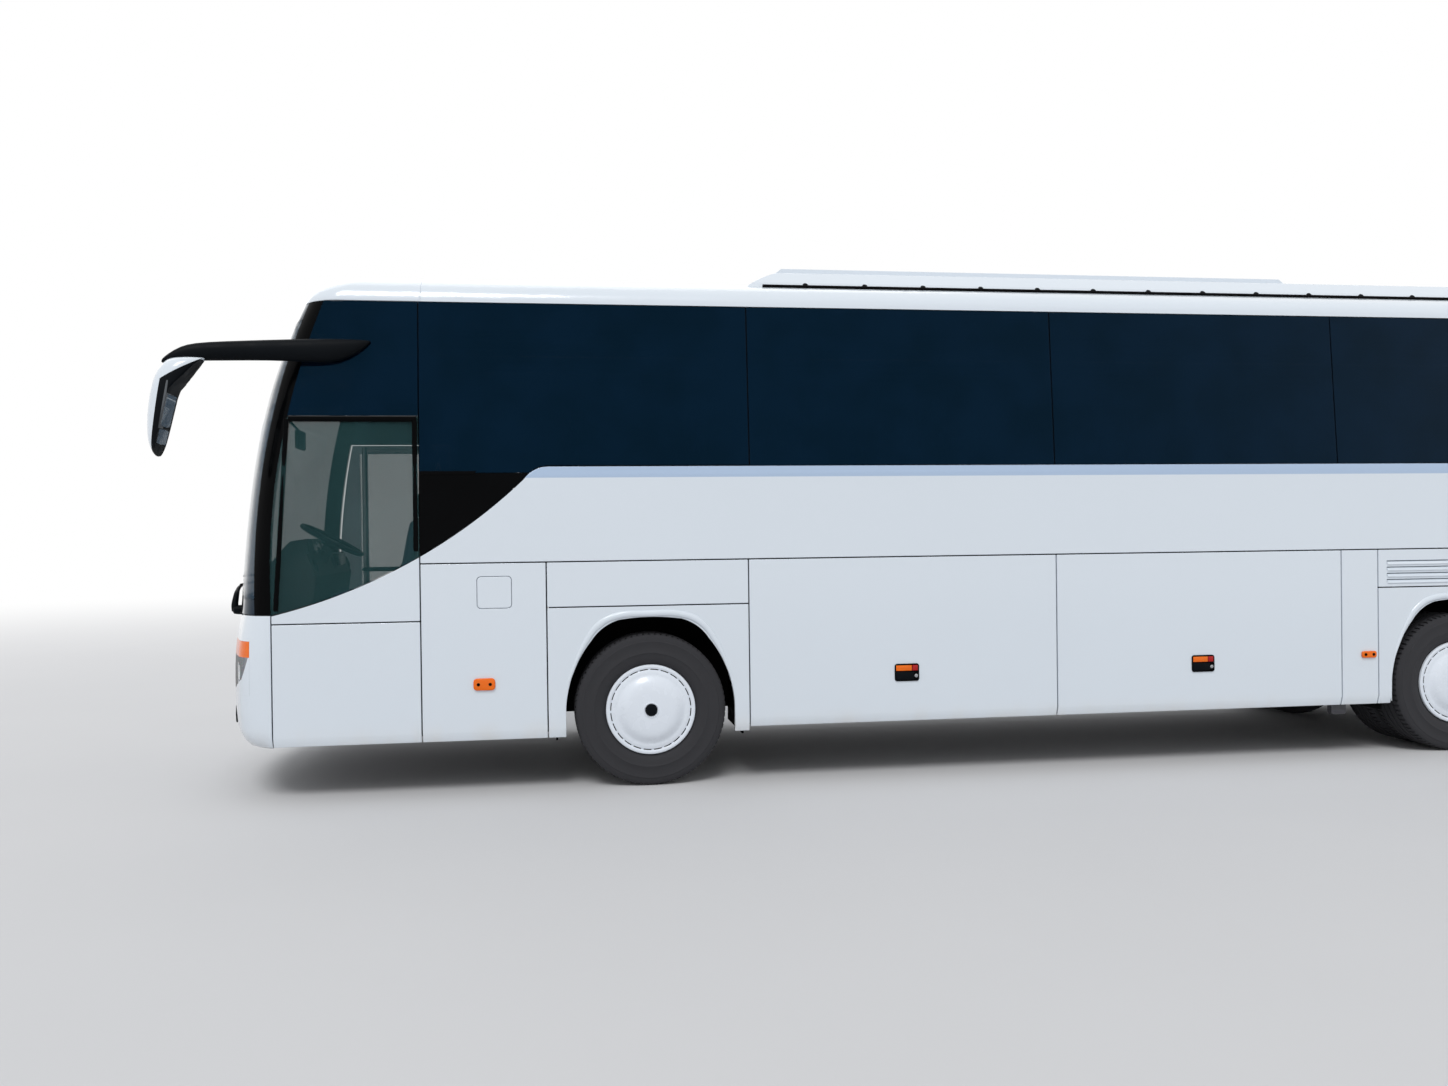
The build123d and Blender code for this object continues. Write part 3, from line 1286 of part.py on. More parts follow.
# Outline of the arm, from its tip over its crest to its tail and back along its belly
arm_tip = mirror_point(-165.0, 2822.0)
arm_brow = mirror_point(18.0, 2940.0)
arm_crest = mirror_point(478.0, 2994.0)
arm_rear_brow = mirror_point(790.0, 3003.0)
arm_tail = mirror_point(1081.0, 2990.0)
arm_rear_belly = mirror_point(930.0, 2866.0)
arm_belly = mirror_point(742.0, 2828.0)
arm_root = mirror_point(30.0, 2822.0)
# Outline of the head, from the arm's tip down its face and up its back
head_brow = mirror_point(-222.0, 2640.0)
head_face = mirror_point(-242.0, 2352.0)
head_chin = mirror_point(-215.0, 2262.0)
head_foot = mirror_point(-160.0, 2226.0)
head_back = mirror_point(-68.0, 2600.0)
head_neck = mirror_point(30.0, 2740.0)
# Plan of the arm: place along the body, distance from the middle plane
arm_plan = (
    (arm_tail[0] + arm_end_margin, arm_rear_half - arm_thickness / 2),
    (arm_tip[0] - arm_end_margin, arm_front_half - arm_thickness / 2),
    (arm_tip[0] - arm_end_margin, arm_front_half + arm_thickness / 2),
    (arm_tail[0] + arm_end_margin, arm_rear_half + arm_thickness / 2),
)
with BuildPart() as mirrors:
    for side in (-1, 1):
        with BuildPart(mode=Mode.PRIVATE) as arm:
            with BuildSketch(Plane.XZ):
                with BuildLine():
                    ThreePointArc(arm_tip, arm_brow, arm_crest)
                    ThreePointArc(arm_crest, arm_rear_brow, arm_tail)
                    ThreePointArc(arm_tail, arm_rear_belly, arm_belly)
                    Polyline(arm_belly, arm_root, arm_tip)
                make_face()
            extrude(amount=2 * half_width, both=True)
            with BuildSketch(Plane.XY):
                with BuildLine():
                    Polyline([(x, side * y) for x, y in arm_plan], close=True)
                make_face()
            extrude(amount=2 * roof_top_z, mode=Mode.INTERSECT)
            add(side_wall(side, arm_tip[0], arm_tail[0] + beyond, sill_z, roof_seam_z, 2 * half_width,
                          face=lambda z: glass_half(z) + seat_gap), mode=Mode.SUBTRACT)
        add(arm.part)
        with BuildPart(mode=Mode.PRIVATE) as head:
            with BuildSketch(Plane.XZ):
                with BuildLine():
                    ThreePointArc(arm_tip, head_brow, head_face)
                    ThreePointArc(head_face, head_chin, head_foot)
                    Polyline(head_foot, head_back, head_neck, arm_root, arm_tip)
                make_face()
            extrude(amount=2 * half_width, both=True)
            low_y, high_y = sorted((side * head_low_half, side * head_high_half))
            add(x_region(head_face[0], front_axle_x, 0.0, 2 * roof_top_z, low_y, high_y), mode=Mode.INTERSECT)
        add(head.part)
mirrors.part.label = "mirrors"
export_step(mirrors.part, "parts/mirrors.step")
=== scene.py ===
"""Two-axle touring coach: the finishes, fittings and soft goods around its solids."""

import json
import logging
import math
from collections.abc import Callable, Iterator, Sequence
from contextlib import contextmanager
from dataclasses import dataclass
from enum import Enum

import bmesh
import bpy
from mathutils import Matrix, Vector

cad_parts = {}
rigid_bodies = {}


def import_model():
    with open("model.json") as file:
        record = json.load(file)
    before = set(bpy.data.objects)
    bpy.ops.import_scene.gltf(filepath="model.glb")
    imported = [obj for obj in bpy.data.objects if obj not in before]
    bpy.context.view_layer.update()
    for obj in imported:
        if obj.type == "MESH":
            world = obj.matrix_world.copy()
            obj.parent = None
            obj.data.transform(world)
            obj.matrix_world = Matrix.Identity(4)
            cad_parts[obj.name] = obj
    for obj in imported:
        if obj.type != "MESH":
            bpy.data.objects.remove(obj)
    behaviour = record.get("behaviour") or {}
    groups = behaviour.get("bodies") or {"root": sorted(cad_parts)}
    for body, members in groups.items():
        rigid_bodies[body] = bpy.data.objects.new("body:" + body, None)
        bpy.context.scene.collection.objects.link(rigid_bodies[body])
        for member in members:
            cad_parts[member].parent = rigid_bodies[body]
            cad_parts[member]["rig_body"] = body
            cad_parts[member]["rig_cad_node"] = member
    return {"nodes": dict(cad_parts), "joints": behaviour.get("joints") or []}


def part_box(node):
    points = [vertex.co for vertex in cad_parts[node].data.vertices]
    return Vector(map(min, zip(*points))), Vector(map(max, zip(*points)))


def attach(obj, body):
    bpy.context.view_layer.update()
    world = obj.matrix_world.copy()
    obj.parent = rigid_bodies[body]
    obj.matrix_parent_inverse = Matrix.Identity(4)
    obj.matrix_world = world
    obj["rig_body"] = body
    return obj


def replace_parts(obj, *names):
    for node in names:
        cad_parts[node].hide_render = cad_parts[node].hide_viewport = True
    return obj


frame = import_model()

Piece = bpy.types.Object
Material = bpy.types.Material
Socket = bpy.types.NodeSocket
Colour = tuple[float, float, float]
Point = Sequence[float]

log = logging.getLogger("coach")
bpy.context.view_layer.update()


# Bench tools: small steps that every piece is made with


def take(*pieces: Piece) -> None:
    """Select these objects alone, the first one active.

    Args:
        pieces: The objects to work on; none leaves everything deselected.
    """
    if bpy.context.object is not None and bpy.context.object.mode != "OBJECT":
        bpy.ops.object.mode_set(mode="OBJECT")
    bpy.ops.object.select_all(action="DESELECT")
    for piece in pieces:
        piece.select_set(True)
    if pieces:
        bpy.context.view_layer.objects.active = pieces[0]


def named(name: str) -> Piece:
    """Return the object made last, under its own name."""
    piece = bpy.context.object
    piece.name = name
    piece.data.name = name
    return piece


@contextmanager
def editing(piece: Piece) -> Iterator[None]:
    """Open a piece in edit mode with all of it selected, and close it afterwards.

    Args:
        piece: The mesh object to edit.
    """
    take(piece)
    bpy.ops.object.mode_set(mode="EDIT")
    bpy.ops.mesh.select_mode(type="VERT")
    bpy.ops.mesh.select_all(action="SELECT")
    yield
    bpy.ops.object.mode_set(mode="OBJECT")


def pick_faces(piece: Piece, test: Callable[[Vector, Vector], bool]) -> None:
    """Select, in edit mode, the faces whose centre and normal pass a test.

    Args:
        piece: The piece that is open in edit mode.
        test: Takes a face's centre and normal and says whether to select it.
    """
    bpy.ops.mesh.select_mode(type="FACE")
    bpy.ops.mesh.select_all(action="DESELECT")
    mesh = bmesh.from_edit_mesh(piece.data)
    for face in mesh.faces:
        if test(face.calc_center_median(), face.normal):
            face.select_set(True)
    bmesh.update_edit_mesh(piece.data)


def set_outwards(piece: Piece, merge: float = 1e-5) -> None:
    """Merge the doubles of a mesh and turn its faces outwards.

    Args:
        piece: The mesh object.
        merge: Distance in metres under which two points become one.
    """
    with editing(piece):
        bpy.ops.mesh.remove_doubles(threshold=merge)
        bpy.ops.mesh.normals_make_consistent(inside=False)


def settle(piece: Piece) -> Piece:
    """Put a piece's place, turn and size into its mesh."""
    take(piece)
    bpy.ops.object.transform_apply(location=True, rotation=True, scale=True)
    return piece


def modify(piece: Piece, kind: str, **settings: object) -> Piece:
    """Add one modifier to a piece and apply it.

    Args:
        piece: The mesh object.
        kind: The modifier's type.
        settings: Values for the modifier's own properties.

    Returns:
        The same piece.
    """
    take(piece)
    bpy.ops.object.modifier_add(type=kind)
    modifier = piece.modifiers[-1]
    for key, value in settings.items():
        setattr(modifier, key, value)
    bpy.ops.object.modifier_apply(modifier=modifier.name)
    return piece


def line(name: str, points: Sequence[Point]) -> Piece:
    """Draw a line by extruding one vertex from point to point.

    Args:
        name: The new object's name.
        points: The places that the line runs through, in metres.

    Returns:
        The object, a chain of edges.
    """
    take()
    bpy.ops.mesh.primitive_plane_add(size=0.01)
    piece = named(name)
    with editing(piece):
        bpy.ops.mesh.merge(type="CENTER")
        bpy.ops.transform.translate(value=Vector(points[0]))
        for last, point in zip(points, points[1:]):
            step = Vector(point) - Vector(last)
            bpy.ops.mesh.extrude_region_move(TRANSFORM_OT_translate={"value": step})
    return piece


def plate(name: str, points: Sequence[Point], thickness: Point) -> Piece:
    """Fill a closed outline and extrude it into a plate.

    Args:
        name: The new object's name.
        points: The outline's corners in one plane.
        thickness: The direction and depth of the extrusion.

    Returns:
        The closed plate.
    """
    piece = line(name, points)
    with editing(piece):
        bpy.ops.mesh.edge_face_add()
        bpy.ops.mesh.select_all(action="SELECT")
        bpy.ops.mesh.extrude_region_move(TRANSFORM_OT_translate={"value": Vector(thickness)})
        bpy.ops.mesh.select_all(action="SELECT")
        bpy.ops.mesh.normals_make_consistent(inside=False)
    return piece


def turned(name: str, profile: Sequence[Point], centre: Point, axis: Point, steps: int = 48) -> Piece:
    """Spin a profile about an axis.

    Args:
        name: The new object's name.
        profile: Distances along the axis and from it; first and last meet or lie on the axis.
        centre: The point of the axis that distances count from.
        axis: The axis direction.
        steps: Segments round the circle.

    Returns:
        The turned piece, closed and facing outwards.
    """
    along = Vector(axis).normalized()
    across = along.orthogonal().normalized()
    points = [Vector(centre) + along * s + across * r for s, r in profile]
    piece = line(name, points)
    with editing(piece):
        bpy.ops.mesh.spin(steps=steps, angle=math.tau, center=Vector(centre), axis=along)
    set_outwards(piece)
    return piece


def block(name: str, low: Point, high: Point, radius: float = 0.004, segments: int = 2) -> Piece:
    """Make a box between two corners and round its edges.

    Args:
        name: The new object's name.
        low: Its lowest corner.
        high: Its highest corner.
        radius: Width of the rounding.
        segments: Steps across the rounding.

    Returns:
        The rounded box.
    """
    low, high = Vector(low), Vector(high)
    take()
    bpy.ops.mesh.primitive_cube_add(size=1.0, location=(low + high) / 2, scale=high - low)
    piece = settle(named(name))
    return modify(piece, "BEVEL", width=radius, segments=segments, limit_method="NONE")


def bar(name: str, points: Sequence[Point], radius: float, curved: bool = True,
        radii: Sequence[float] = ()) -> Piece:
    """Make a round bar along a line.

    Args:
        name: The new object's name.
        points: The places that the bar runs through.
        radius: Its radius.
        curved: Whether it bends smoothly through the points.
        radii: Shares of the radius at each point, where it tapers.

    Returns:
        The bar as a closed mesh.
    """
    piece = line(name, points)
    bpy.ops.object.convert(target="CURVE")
    if curved:
        bpy.ops.object.mode_set(mode="EDIT")
        bpy.ops.curve.select_all(action="SELECT")
        bpy.ops.curve.spline_type_set(type="BEZIER")
        bpy.ops.curve.handle_type_set(type="AUTOMATIC")
        bpy.ops.object.mode_set(mode="OBJECT")
    curve = bpy.context.object.data
    spline = curve.splines[0]
    knots = spline.bezier_points if curved else spline.points
    for knot, share in zip(knots, radii):
        knot.radius = share
    curve.resolution_u = 6
    curve.bevel_depth = radius
    curve.bevel_resolution = 3
    curve.use_fill_caps = True
    bpy.ops.object.convert(target="MESH")
    piece = named(name)
    set_outwards(piece)
    return piece


def lofted(name: str, rings: Sequence[Sequence[float]], normal: Point, vertices: int = 20) -> Piece:
    """Bridge a row of oval rings into a closed body.

    Args:
        name: The new object's name.
        rings: Centre x, y, z and the ring's size along x, y and z.
        normal: The direction that the row runs in, X or Z.
        vertices: Points round each ring.

    Returns:
        The closed body.
    """
    turn = (0, math.pi / 2, 0) if abs(normal[0]) > abs(normal[2]) else (0, 0, 0)
    take()
    x, y, z = rings[0][:3]
    bpy.ops.mesh.primitive_circle_add(vertices=vertices, radius=1.0, location=(0, 0, 0), rotation=(0, 0, 0))
    piece = settle(named(name))
    with editing(piece):
        bpy.ops.mesh.delete(type="VERT")
        for x, y, z, size_x, size_y, size_z in rings:
            bpy.ops.mesh.select_all(action="DESELECT")
            bpy.ops.mesh.primitive_circle_add(vertices=vertices, radius=1.0, location=(x, y, z),
                                              rotation=turn)
            bpy.ops.transform.resize(value=(size_x, size_y, size_z), center_override=(x, y, z))
        bpy.ops.mesh.select_all(action="SELECT")
        bpy.ops.mesh.bridge_edge_loops()
        bpy.ops.mesh.select_all(action="SELECT")
        bpy.ops.mesh.fill_holes(sides=vertices)
    set_outwards(piece)
    return piece


def joined(name: str, pieces: Sequence[Piece]) -> Piece:
    """Join several meshes into one piece."""
    take(*pieces)
    bpy.ops.object.join()
    return named(name)


def copied(piece: Piece, name: str, shift: Point = (0, 0, 0), flip: Point = (1, 1, 1)) -> Piece:
    """Copy a piece, mirror it about the origin and move it.

    Args:
        piece: The piece to copy.
        name: The copy's name.
        shift: How far the copy moves.
        flip: Its scale along each axis, -1 where it is mirrored.

    Returns:
        The copy, with its own mesh.
    """
    take(piece)
    bpy.ops.object.duplicate(linked=False)
    twin = named(name)
    twin.scale = flip
    twin.location = shift
    settle(twin)
    if flip[0] * flip[1] * flip[2] < 0:
        set_outwards(twin)
    return twin


def rounded(width: float, height: float, radius: float, steps: int = 4) -> list[tuple[float, float]]:
    """Return the outline of a rounded rectangle about its centre, as pairs."""
    corners = ((1, 1), (-1, 1), (-1, -1), (1, -1))
    outline = []
    for quarter, (right, up) in enumerate(corners):
        for i in range(steps + 1):
            angle = (quarter + i / steps) * math.pi / 2
            outline.append((right * (width / 2 - radius) + radius * math.cos(angle),
                            up * (height / 2 - radius) + radius * math.sin(angle)))
    return outline


# Finishes


class Recipe:
    """The node tree of one material, wired from object coordinates to its surface."""

    def __init__(self, name: str) -> None:
        """Start an empty material with its surface shader."""
        self.material = bpy.data.materials.new(name)
        self.material.use_nodes = True
        self.tree = self.material.node_tree
        self.surface = self.tree.nodes["Principled BSDF"]
        self.place = self.tree.nodes.new("ShaderNodeTexCoord").outputs["Object"]

    def feed(self, socket: Socket, value: object) -> None:
        """Link an output to a socket, or set the socket to a plain value."""
        if isinstance(value, bpy.types.NodeSocket):
            self.tree.links.new(value, socket)
        else:
            socket.default_value = value

    def add(self, kind: str, inputs: dict[object, object], **settings: object) -> bpy.types.Node:
        """Add a node.

        Args:
            kind: The node's type.
            inputs: Values or outputs for its sockets, by name or number.
            settings: The node's own properties.

        Returns:
            The node.
        """
        node = self.tree.nodes.new(kind)
        for key, value in settings.items():
            setattr(node, key, value)
        for key, value in inputs.items():
            self.feed(node.inputs[key], value)
        return node

    def stretched(self, scale: Point) -> Socket:
        """Return the object coordinates scaled along each axis."""
        return self.add("ShaderNodeMapping", {"Vector": self.place, "Scale": scale}).outputs["Vector"]

    def noise(self, scale: float, detail: float = 4.0, stretch: Point = (1, 1, 1)) -> Socket:
        """Return a cloudy value between 0 and 1."""
        inputs = {"Vector": self.stretched(stretch), "Scale": scale, "Detail": detail}
        return self.add("ShaderNodeTexNoise", inputs).outputs["Fac"]

    def ranged(self, value: Socket, low: float, high: float, start: float = 0.0, end: float = 1.0) -> Socket:
        """Return a value mapped smoothly from one range to another."""
        inputs = {"Value": value, "From Min": low, "From Max": high, "To Min": start, "To Max": end}
        node = self.add("ShaderNodeMapRange", inputs, interpolation_type="SMOOTHSTEP")
        return node.outputs["Result"]

    def math(self, operation: str, first: object, second: object) -> Socket:
        """Return two values combined by one operation."""
        return self.add("ShaderNodeMath", {0: first, 1: second}, operation=operation).outputs["Value"]

    def axis(self, letter: str) -> Socket:
        """Return one object coordinate, in metres."""
        return self.add("ShaderNodeSeparateXYZ", {"Vector": self.place}).outputs[letter]

    def band(self, letter: str, low: float, high: float, soft: float = 0.004) -> Socket:
        """Return 1 between two places along an axis and 0 outside them."""
        value = self.axis(letter)
        rise = self.ranged(value, low - soft, low + soft)
        fall = self.ranged(value, high - soft, high + soft, 1.0, 0.0)
        return self.math("MULTIPLY", rise, fall)

    def mix(self, share: object, first: object, second: object) -> Socket:
        """Return two colours mixed by a share."""
        shades = [(*c, 1.0) if isinstance(c, tuple) and len(c) == 3 else c for c in (first, second)]
        node = self.add("ShaderNodeMix", {0: share, 6: shades[0], 7: shades[1]}, data_type="RGBA")
        return node.outputs[2]

    def bump(self, height: Socket, distance: float, strength: float = 1.0) -> None:
        """Lay a height on the surface, over any earlier one."""
        inputs = {"Height": height, "Distance": distance, "Strength": strength}
        node = self.add("ShaderNodeBump", inputs)
        if self.surface.inputs["Normal"].is_linked:
            self.feed(node.inputs["Normal"], self.surface.inputs["Normal"].links[0].from_socket)
        self.feed(self.surface.inputs["Normal"], node.outputs["Normal"])

    def set(self, **sockets: object) -> None:
        """Feed the surface shader's sockets, with underscores for spaces."""
        for key, value in sockets.items():
            self.feed(self.surface.inputs[key.replace("_", " ")], value)


@dataclass(frozen=True)
class Finish:
    """A plain finish: one colour with slight clouds, a roughness and a fine grain."""

    name: str
    colour: Colour
    roughness: float = 0.5
    metallic: float = 0.0
    coat: float = 0.0
    cloud: float = 0.12
    cloud_scale: float = 3.0
    grain_scale: float = 260.0
    grain_depth: float = 0.0001
    specular: float = 0.5

    def shade(self, factor: float) -> Colour:
        """Return the colour made lighter or darker."""
        return tuple(min(1.0, c * factor) for c in self.colour)

    def base(self, recipe: Recipe) -> Socket:
        """Return the clouded base colour."""
        clouds = recipe.ranged(recipe.noise(self.cloud_scale), 0.3, 0.7)
        return recipe.mix(clouds, self.shade(1 - self.cloud), self.shade(1 + self.cloud))

    def surface(self, recipe: Recipe) -> None:
        """Wire the whole surface; other finishes add to this."""
        worn = recipe.ranged(recipe.noise(self.cloud_scale * 4), 0.3, 0.7,
                             self.roughness * 0.88, min(1.0, self.roughness * 1.15))
        recipe.set(Base_Color=self.base(recipe), Roughness=worn, Metallic=self.metallic,
                   Coat_Weight=self.coat, Coat_Roughness=0.04, Specular_IOR_Level=self.specular)
        recipe.bump(recipe.noise(self.grain_scale, 2.0), self.grain_depth)

    def material(self) -> Material:
        """Return this finish's material, made at its first use."""
        found = bpy.data.materials.get(self.name)
        if found is None:
            recipe = Recipe(self.name)
            self.surface(recipe)
            found = recipe.material
        return found


@dataclass(frozen=True)
class BodyPaint(Finish):
    """Coach enamel with a pale blue belt band of painted sky reflection, and road film along the skirt."""

    # The belt band is a painted reflection of the sky: its heights, its start and its colour.
    belt: tuple[float, float] = (2.087, 2.162)
    belt_start: float = -4.25
    belt_sky_reflection_colour: Colour = (0.40, 0.52, 0.70)
    film_top: float = 0.52
    film_colour: Colour = (0.66, 0.60, 0.52)

    def base(self, recipe: Recipe) -> Socket:
        """Return the enamel's colour with the belt band of painted sky reflection and the road film."""
        enamel = super().base(recipe)
        # Painted reflection: a pale blue band where the sloped face under the side glass would mirror the
        # sky, on the outer sides behind x = -4.25 only.
        out = recipe.ranged(recipe.math("ABSOLUTE", recipe.axis("Y"), 0.0), 1.20, 1.22)
        behind = recipe.ranged(recipe.axis("X"), self.belt_start - 0.01, self.belt_start + 0.01)
        strip = recipe.math("MULTIPLY", recipe.band("Z", *self.belt, 0.003),
                            recipe.math("MULTIPLY", out, behind))
        enamel = recipe.mix(strip, enamel, self.belt_sky_reflection_colour)
        low = recipe.ranged(recipe.axis("Z"), 0.33, self.film_top, 1.0, 0.0)
        streaks = recipe.ranged(recipe.noise(5.0, 5.0, (1, 1, 0.35)), 0.35, 0.75, 0.05, 0.35)
        return recipe.mix(recipe.math("MULTIPLY", low, streaks), enamel, self.film_colour)

    def surface(self, recipe: Recipe) -> None:
        """Wire the enamel with a faint waviness of long pressed panels."""
        super().surface(recipe)
        recipe.bump(recipe.noise(0.9, 1.0, (1, 1, 1.6)), 0.0008, 0.25)


@dataclass(frozen=True)
class Glass(Finish):
    """Safety glass: a tint that lets some of the view through, with a printed edge if wanted, and reflections
    coloured as a painted sky reflection.
    """

    see_through: float = 0.5
    # sheen colours the glass's reflections: a painted reflection of a blue sky.
    sheen: Colour = (1.0, 1.0, 1.0)
    print_low: float = 0.0
    print_high: float = 0.0

    def surface(self, recipe: Recipe) -> None:
        """Wire the tint, the painted sky colour of its reflections, its see-through share and its slow
        waviness.
        """
        super().surface(recipe)
        recipe.set(Specular_Tint=(*self.sheen, 1.0), IOR=1.5)
        solid = recipe.ranged(recipe.noise(0.8), 0.0, 1.0, 0.97 - self.see_through, 1.03 - self.see_through)
        if self.print_high:
            height = recipe.axis("Z")
            printed = recipe.math("MAXIMUM",
                                  recipe.ranged(height, self.print_low, self.print_low + 0.03, 1, 0),
                                  recipe.ranged(height, self.print_high - 0.03, self.print_high))
            solid = recipe.math("MAXIMUM", solid, printed)
            recipe.set(Base_Color=recipe.mix(printed, self.base(recipe), (0.008, 0.008, 0.010)))
        recipe.set(Alpha=solid)
        recipe.bump(recipe.noise(0.9, 1.0), 0.002, 0.15)


@dataclass(frozen=True)
class Lens(Finish):
    """Moulded lamp lens with fine upright ribs."""

    rib_pitch: float = 0.008
    see_through: float = 0.0

    def surface(self, recipe: Recipe) -> None:
        """Wire the ribs and the glow of a coloured plastic."""
        super().surface(recipe)
        ribs = recipe.add("ShaderNodeTexWave", {"Vector": recipe.place, "Scale": 0.314 / self.rib_pitch},
                          bands_direction="DIAGONAL").outputs["Fac"]
        recipe.bump(ribs, 0.0006, 0.5)
        recipe.set(Alpha=1.0 - self.see_through, Subsurface_Weight=0.15, Subsurface_Scale=0.01)


@dataclass(frozen=True)
class TailLens(Lens):
    """Tail lamp lens in stacked bands: height, colour."""

    bands: tuple[tuple[float, float, Colour], ...] = (
        (1.075, 1.30, (0.72, 0.22, 0.01)),
        (0.800, 0.875, (0.62, 0.62, 0.64)),
    )

    def base(self, recipe: Recipe) -> Socket:
        """Return the red lens with its amber and clear bands."""
        colour = super().base(recipe)
        for low, high, other in self.bands:
            colour = recipe.mix(recipe.band("Z", low, high, 0.001), colour, other)
        return colour


@dataclass(frozen=True)
class Rubber(Finish):
    """Tyre rubber, greyed by patches of dust."""

    dust: Colour = (0.022, 0.021, 0.020)

    def base(self, recipe: Recipe) -> Socket:
        """Return the rubber's black with patches of dust."""
        black = super().base(recipe)
        patches = recipe.ranged(recipe.noise(9.0, 6.0), 0.45, 0.75, 0.0, 0.6)
        return recipe.mix(patches, black, self.dust)


@dataclass(frozen=True)
class Fabric(Finish):
    """Woven seat cloth with crossing threads and a soft sheen."""

    thread: float = 420.0
    fleck: Colour = (0.20, 0.22, 0.32)

    def base(self, recipe: Recipe) -> Socket:
        """Return the cloth's colour with scattered flecks."""
        cloth = super().base(recipe)
        cells = recipe.add("ShaderNodeTexVoronoi",
                           {"Vector": recipe.place, "Scale": 46.0}).outputs["Distance"]
        return recipe.mix(recipe.ranged(cells, 0.12, 0.20, 0.85, 0.0), cloth, self.fleck)

    def surface(self, recipe: Recipe) -> None:
        """Wire the weave's relief and the cloth's sheen."""
        super().surface(recipe)
        for direction in ("X", "Y", "Z"):
            wave = recipe.add("ShaderNodeTexWave", {"Vector": recipe.place, "Scale": self.thread / 20},
                              bands_direction=direction).outputs["Fac"]
            recipe.bump(wave, 0.0004, 0.4)
        recipe.set(Sheen_Weight=0.35, Sheen_Roughness=0.4)


class Stock(Enum):
    """The finishes that the coach is made of."""

    # The enamel is white paint with painted shade in its colour: the blue-grey tone of a side lit only by a
    # blue sky.
    PAINT = BodyPaint("coach_enamel", (0.71, 0.77, 0.835), 0.22, coat=0.7, cloud=0.006, cloud_scale=0.5,
                      grain_scale=120.0, grain_depth=0.00002)
    # The sheen of each glass is a painted reflection of a blue sky.
    SIDE_GLASS = Glass("tinted_side_glass", (0.001, 0.0035, 0.010), 0.04, cloud=0.3, grain_depth=0.0,
                       see_through=0.05, sheen=(0.05, 0.24, 0.46))
    SCREEN = Glass("laminated_screen", (0.010, 0.040, 0.070), 0.04, cloud=0.15, grain_depth=0.0,
                   see_through=0.48, sheen=(0.15, 0.45, 0.80), print_low=1.30, print_high=3.16)
    CAB_GLASS = Glass("clear_cab_glass", (0.016, 0.046, 0.046), 0.04, cloud=0.15, grain_depth=0.0,
                      see_through=0.58, sheen=(0.30, 0.70, 0.80))
    GLOSS_BLACK = Finish("gloss_black_trim", (0.0014, 0.0016, 0.0020), 0.12, cloud=0.2, grain_depth=0.00002,
                         specular=0.035)
    SATIN_BLACK = Finish("satin_black_plastic", (0.0034, 0.0046, 0.0062), 0.45, cloud=0.15, grain_scale=700.0,
                         specular=0.06)
    SEAL = Finish("black_seal", (0.0020, 0.0020, 0.0024), 0.6, cloud=0.25, grain_scale=500.0, specular=0.04)
    LINER = Finish("arch_liner", (0.0060, 0.0060, 0.0065), 0.85, cloud=0.4, grain_scale=180.0,
                   grain_depth=0.0006, specular=0.10)
    FLOOR = Finish("ribbed_floor", (0.045, 0.047, 0.052), 0.6, cloud=0.3, grain_scale=500.0,
                   grain_depth=0.0003,
                   specular=0.25)
    FRAME = Finish("frame_paint", (0.012, 0.012, 0.014), 0.55, cloud=0.35, grain_scale=120.0,
                   grain_depth=0.0004, specular=0.25)
    IRON = Finish("cast_iron", (0.045, 0.042, 0.040), 0.7, 0.6, cloud=0.4, grain_scale=160.0,
                  grain_depth=0.0006)
    STEEL = Finish("brushed_steel", (0.42, 0.43, 0.45), 0.32, 1.0, cloud=0.1, grain_scale=900.0)
    CHROME = Finish("bright_reflector", (0.80, 0.81, 0.83), 0.08, 1.0, cloud=0.04, grain_depth=0.0)
    # The wheel covers are white paint with the same painted sky shade in their blue-grey colour.
    WHEEL = Finish("wheel_cover_paint", (0.76, 0.81, 0.88), 0.26, coat=0.5, cloud=0.01, grain_depth=0.00002)
    RUBBER = Rubber("tyre_rubber", (0.0034, 0.0038, 0.0052), 0.75, cloud=0.25, grain_scale=300.0,
                    grain_depth=0.0003, specular=0.05, dust=(0.0075, 0.0073, 0.0075))
    AMBER = Lens("amber_lens", (0.86, 0.155, 0.003), 0.14, coat=0.15, cloud=0.06, specular=0.25)
    RED = Lens("red_lens", (0.42, 0.007, 0.006), 0.14, coat=0.15, cloud=0.08, specular=0.25)
    TAIL = TailLens("tail_lens", (0.42, 0.008, 0.007), 0.14, coat=0.25, cloud=0.08, rib_pitch=0.012,
                    specular=0.3)
    CLEAR = Lens("clear_lens", (0.60, 0.64, 0.68), 0.06, coat=0.6, cloud=0.03, see_through=0.66)
    DASH = Finish("dash_plastic", (0.012, 0.0125, 0.015), 0.6, cloud=0.15, grain_scale=420.0,
                  grain_depth=0.0003,
                  specular=0.25)
    CLOTH = Fabric("seat_cloth", (0.020, 0.030, 0.080), 0.9, cloud=0.2, cloud_scale=14.0)
    LEATHER = Finish("headrest_hide", (0.022, 0.024, 0.032), 0.45, cloud=0.2, grain_scale=380.0,
                     grain_depth=0.0004, specular=0.3)
    TRIM = Finish("cabin_lining", (0.36, 0.36, 0.37), 0.8, cloud=0.06, grain_scale=600.0, grain_depth=0.0002)
    SMOKE = Finish("smoked_strip", (0.085, 0.092, 0.100), 0.3, cloud=0.3, grain_depth=0.0, specular=0.2)
    MIRROR = Finish("mirror_silver", (0.62, 0.66, 0.70), 0.03, 1.0, cloud=0.02, grain_depth=0.0)
    PLATE = Finish("blank_plate", (0.70, 0.70, 0.68), 0.35, coat=0.3, cloud=0.04)


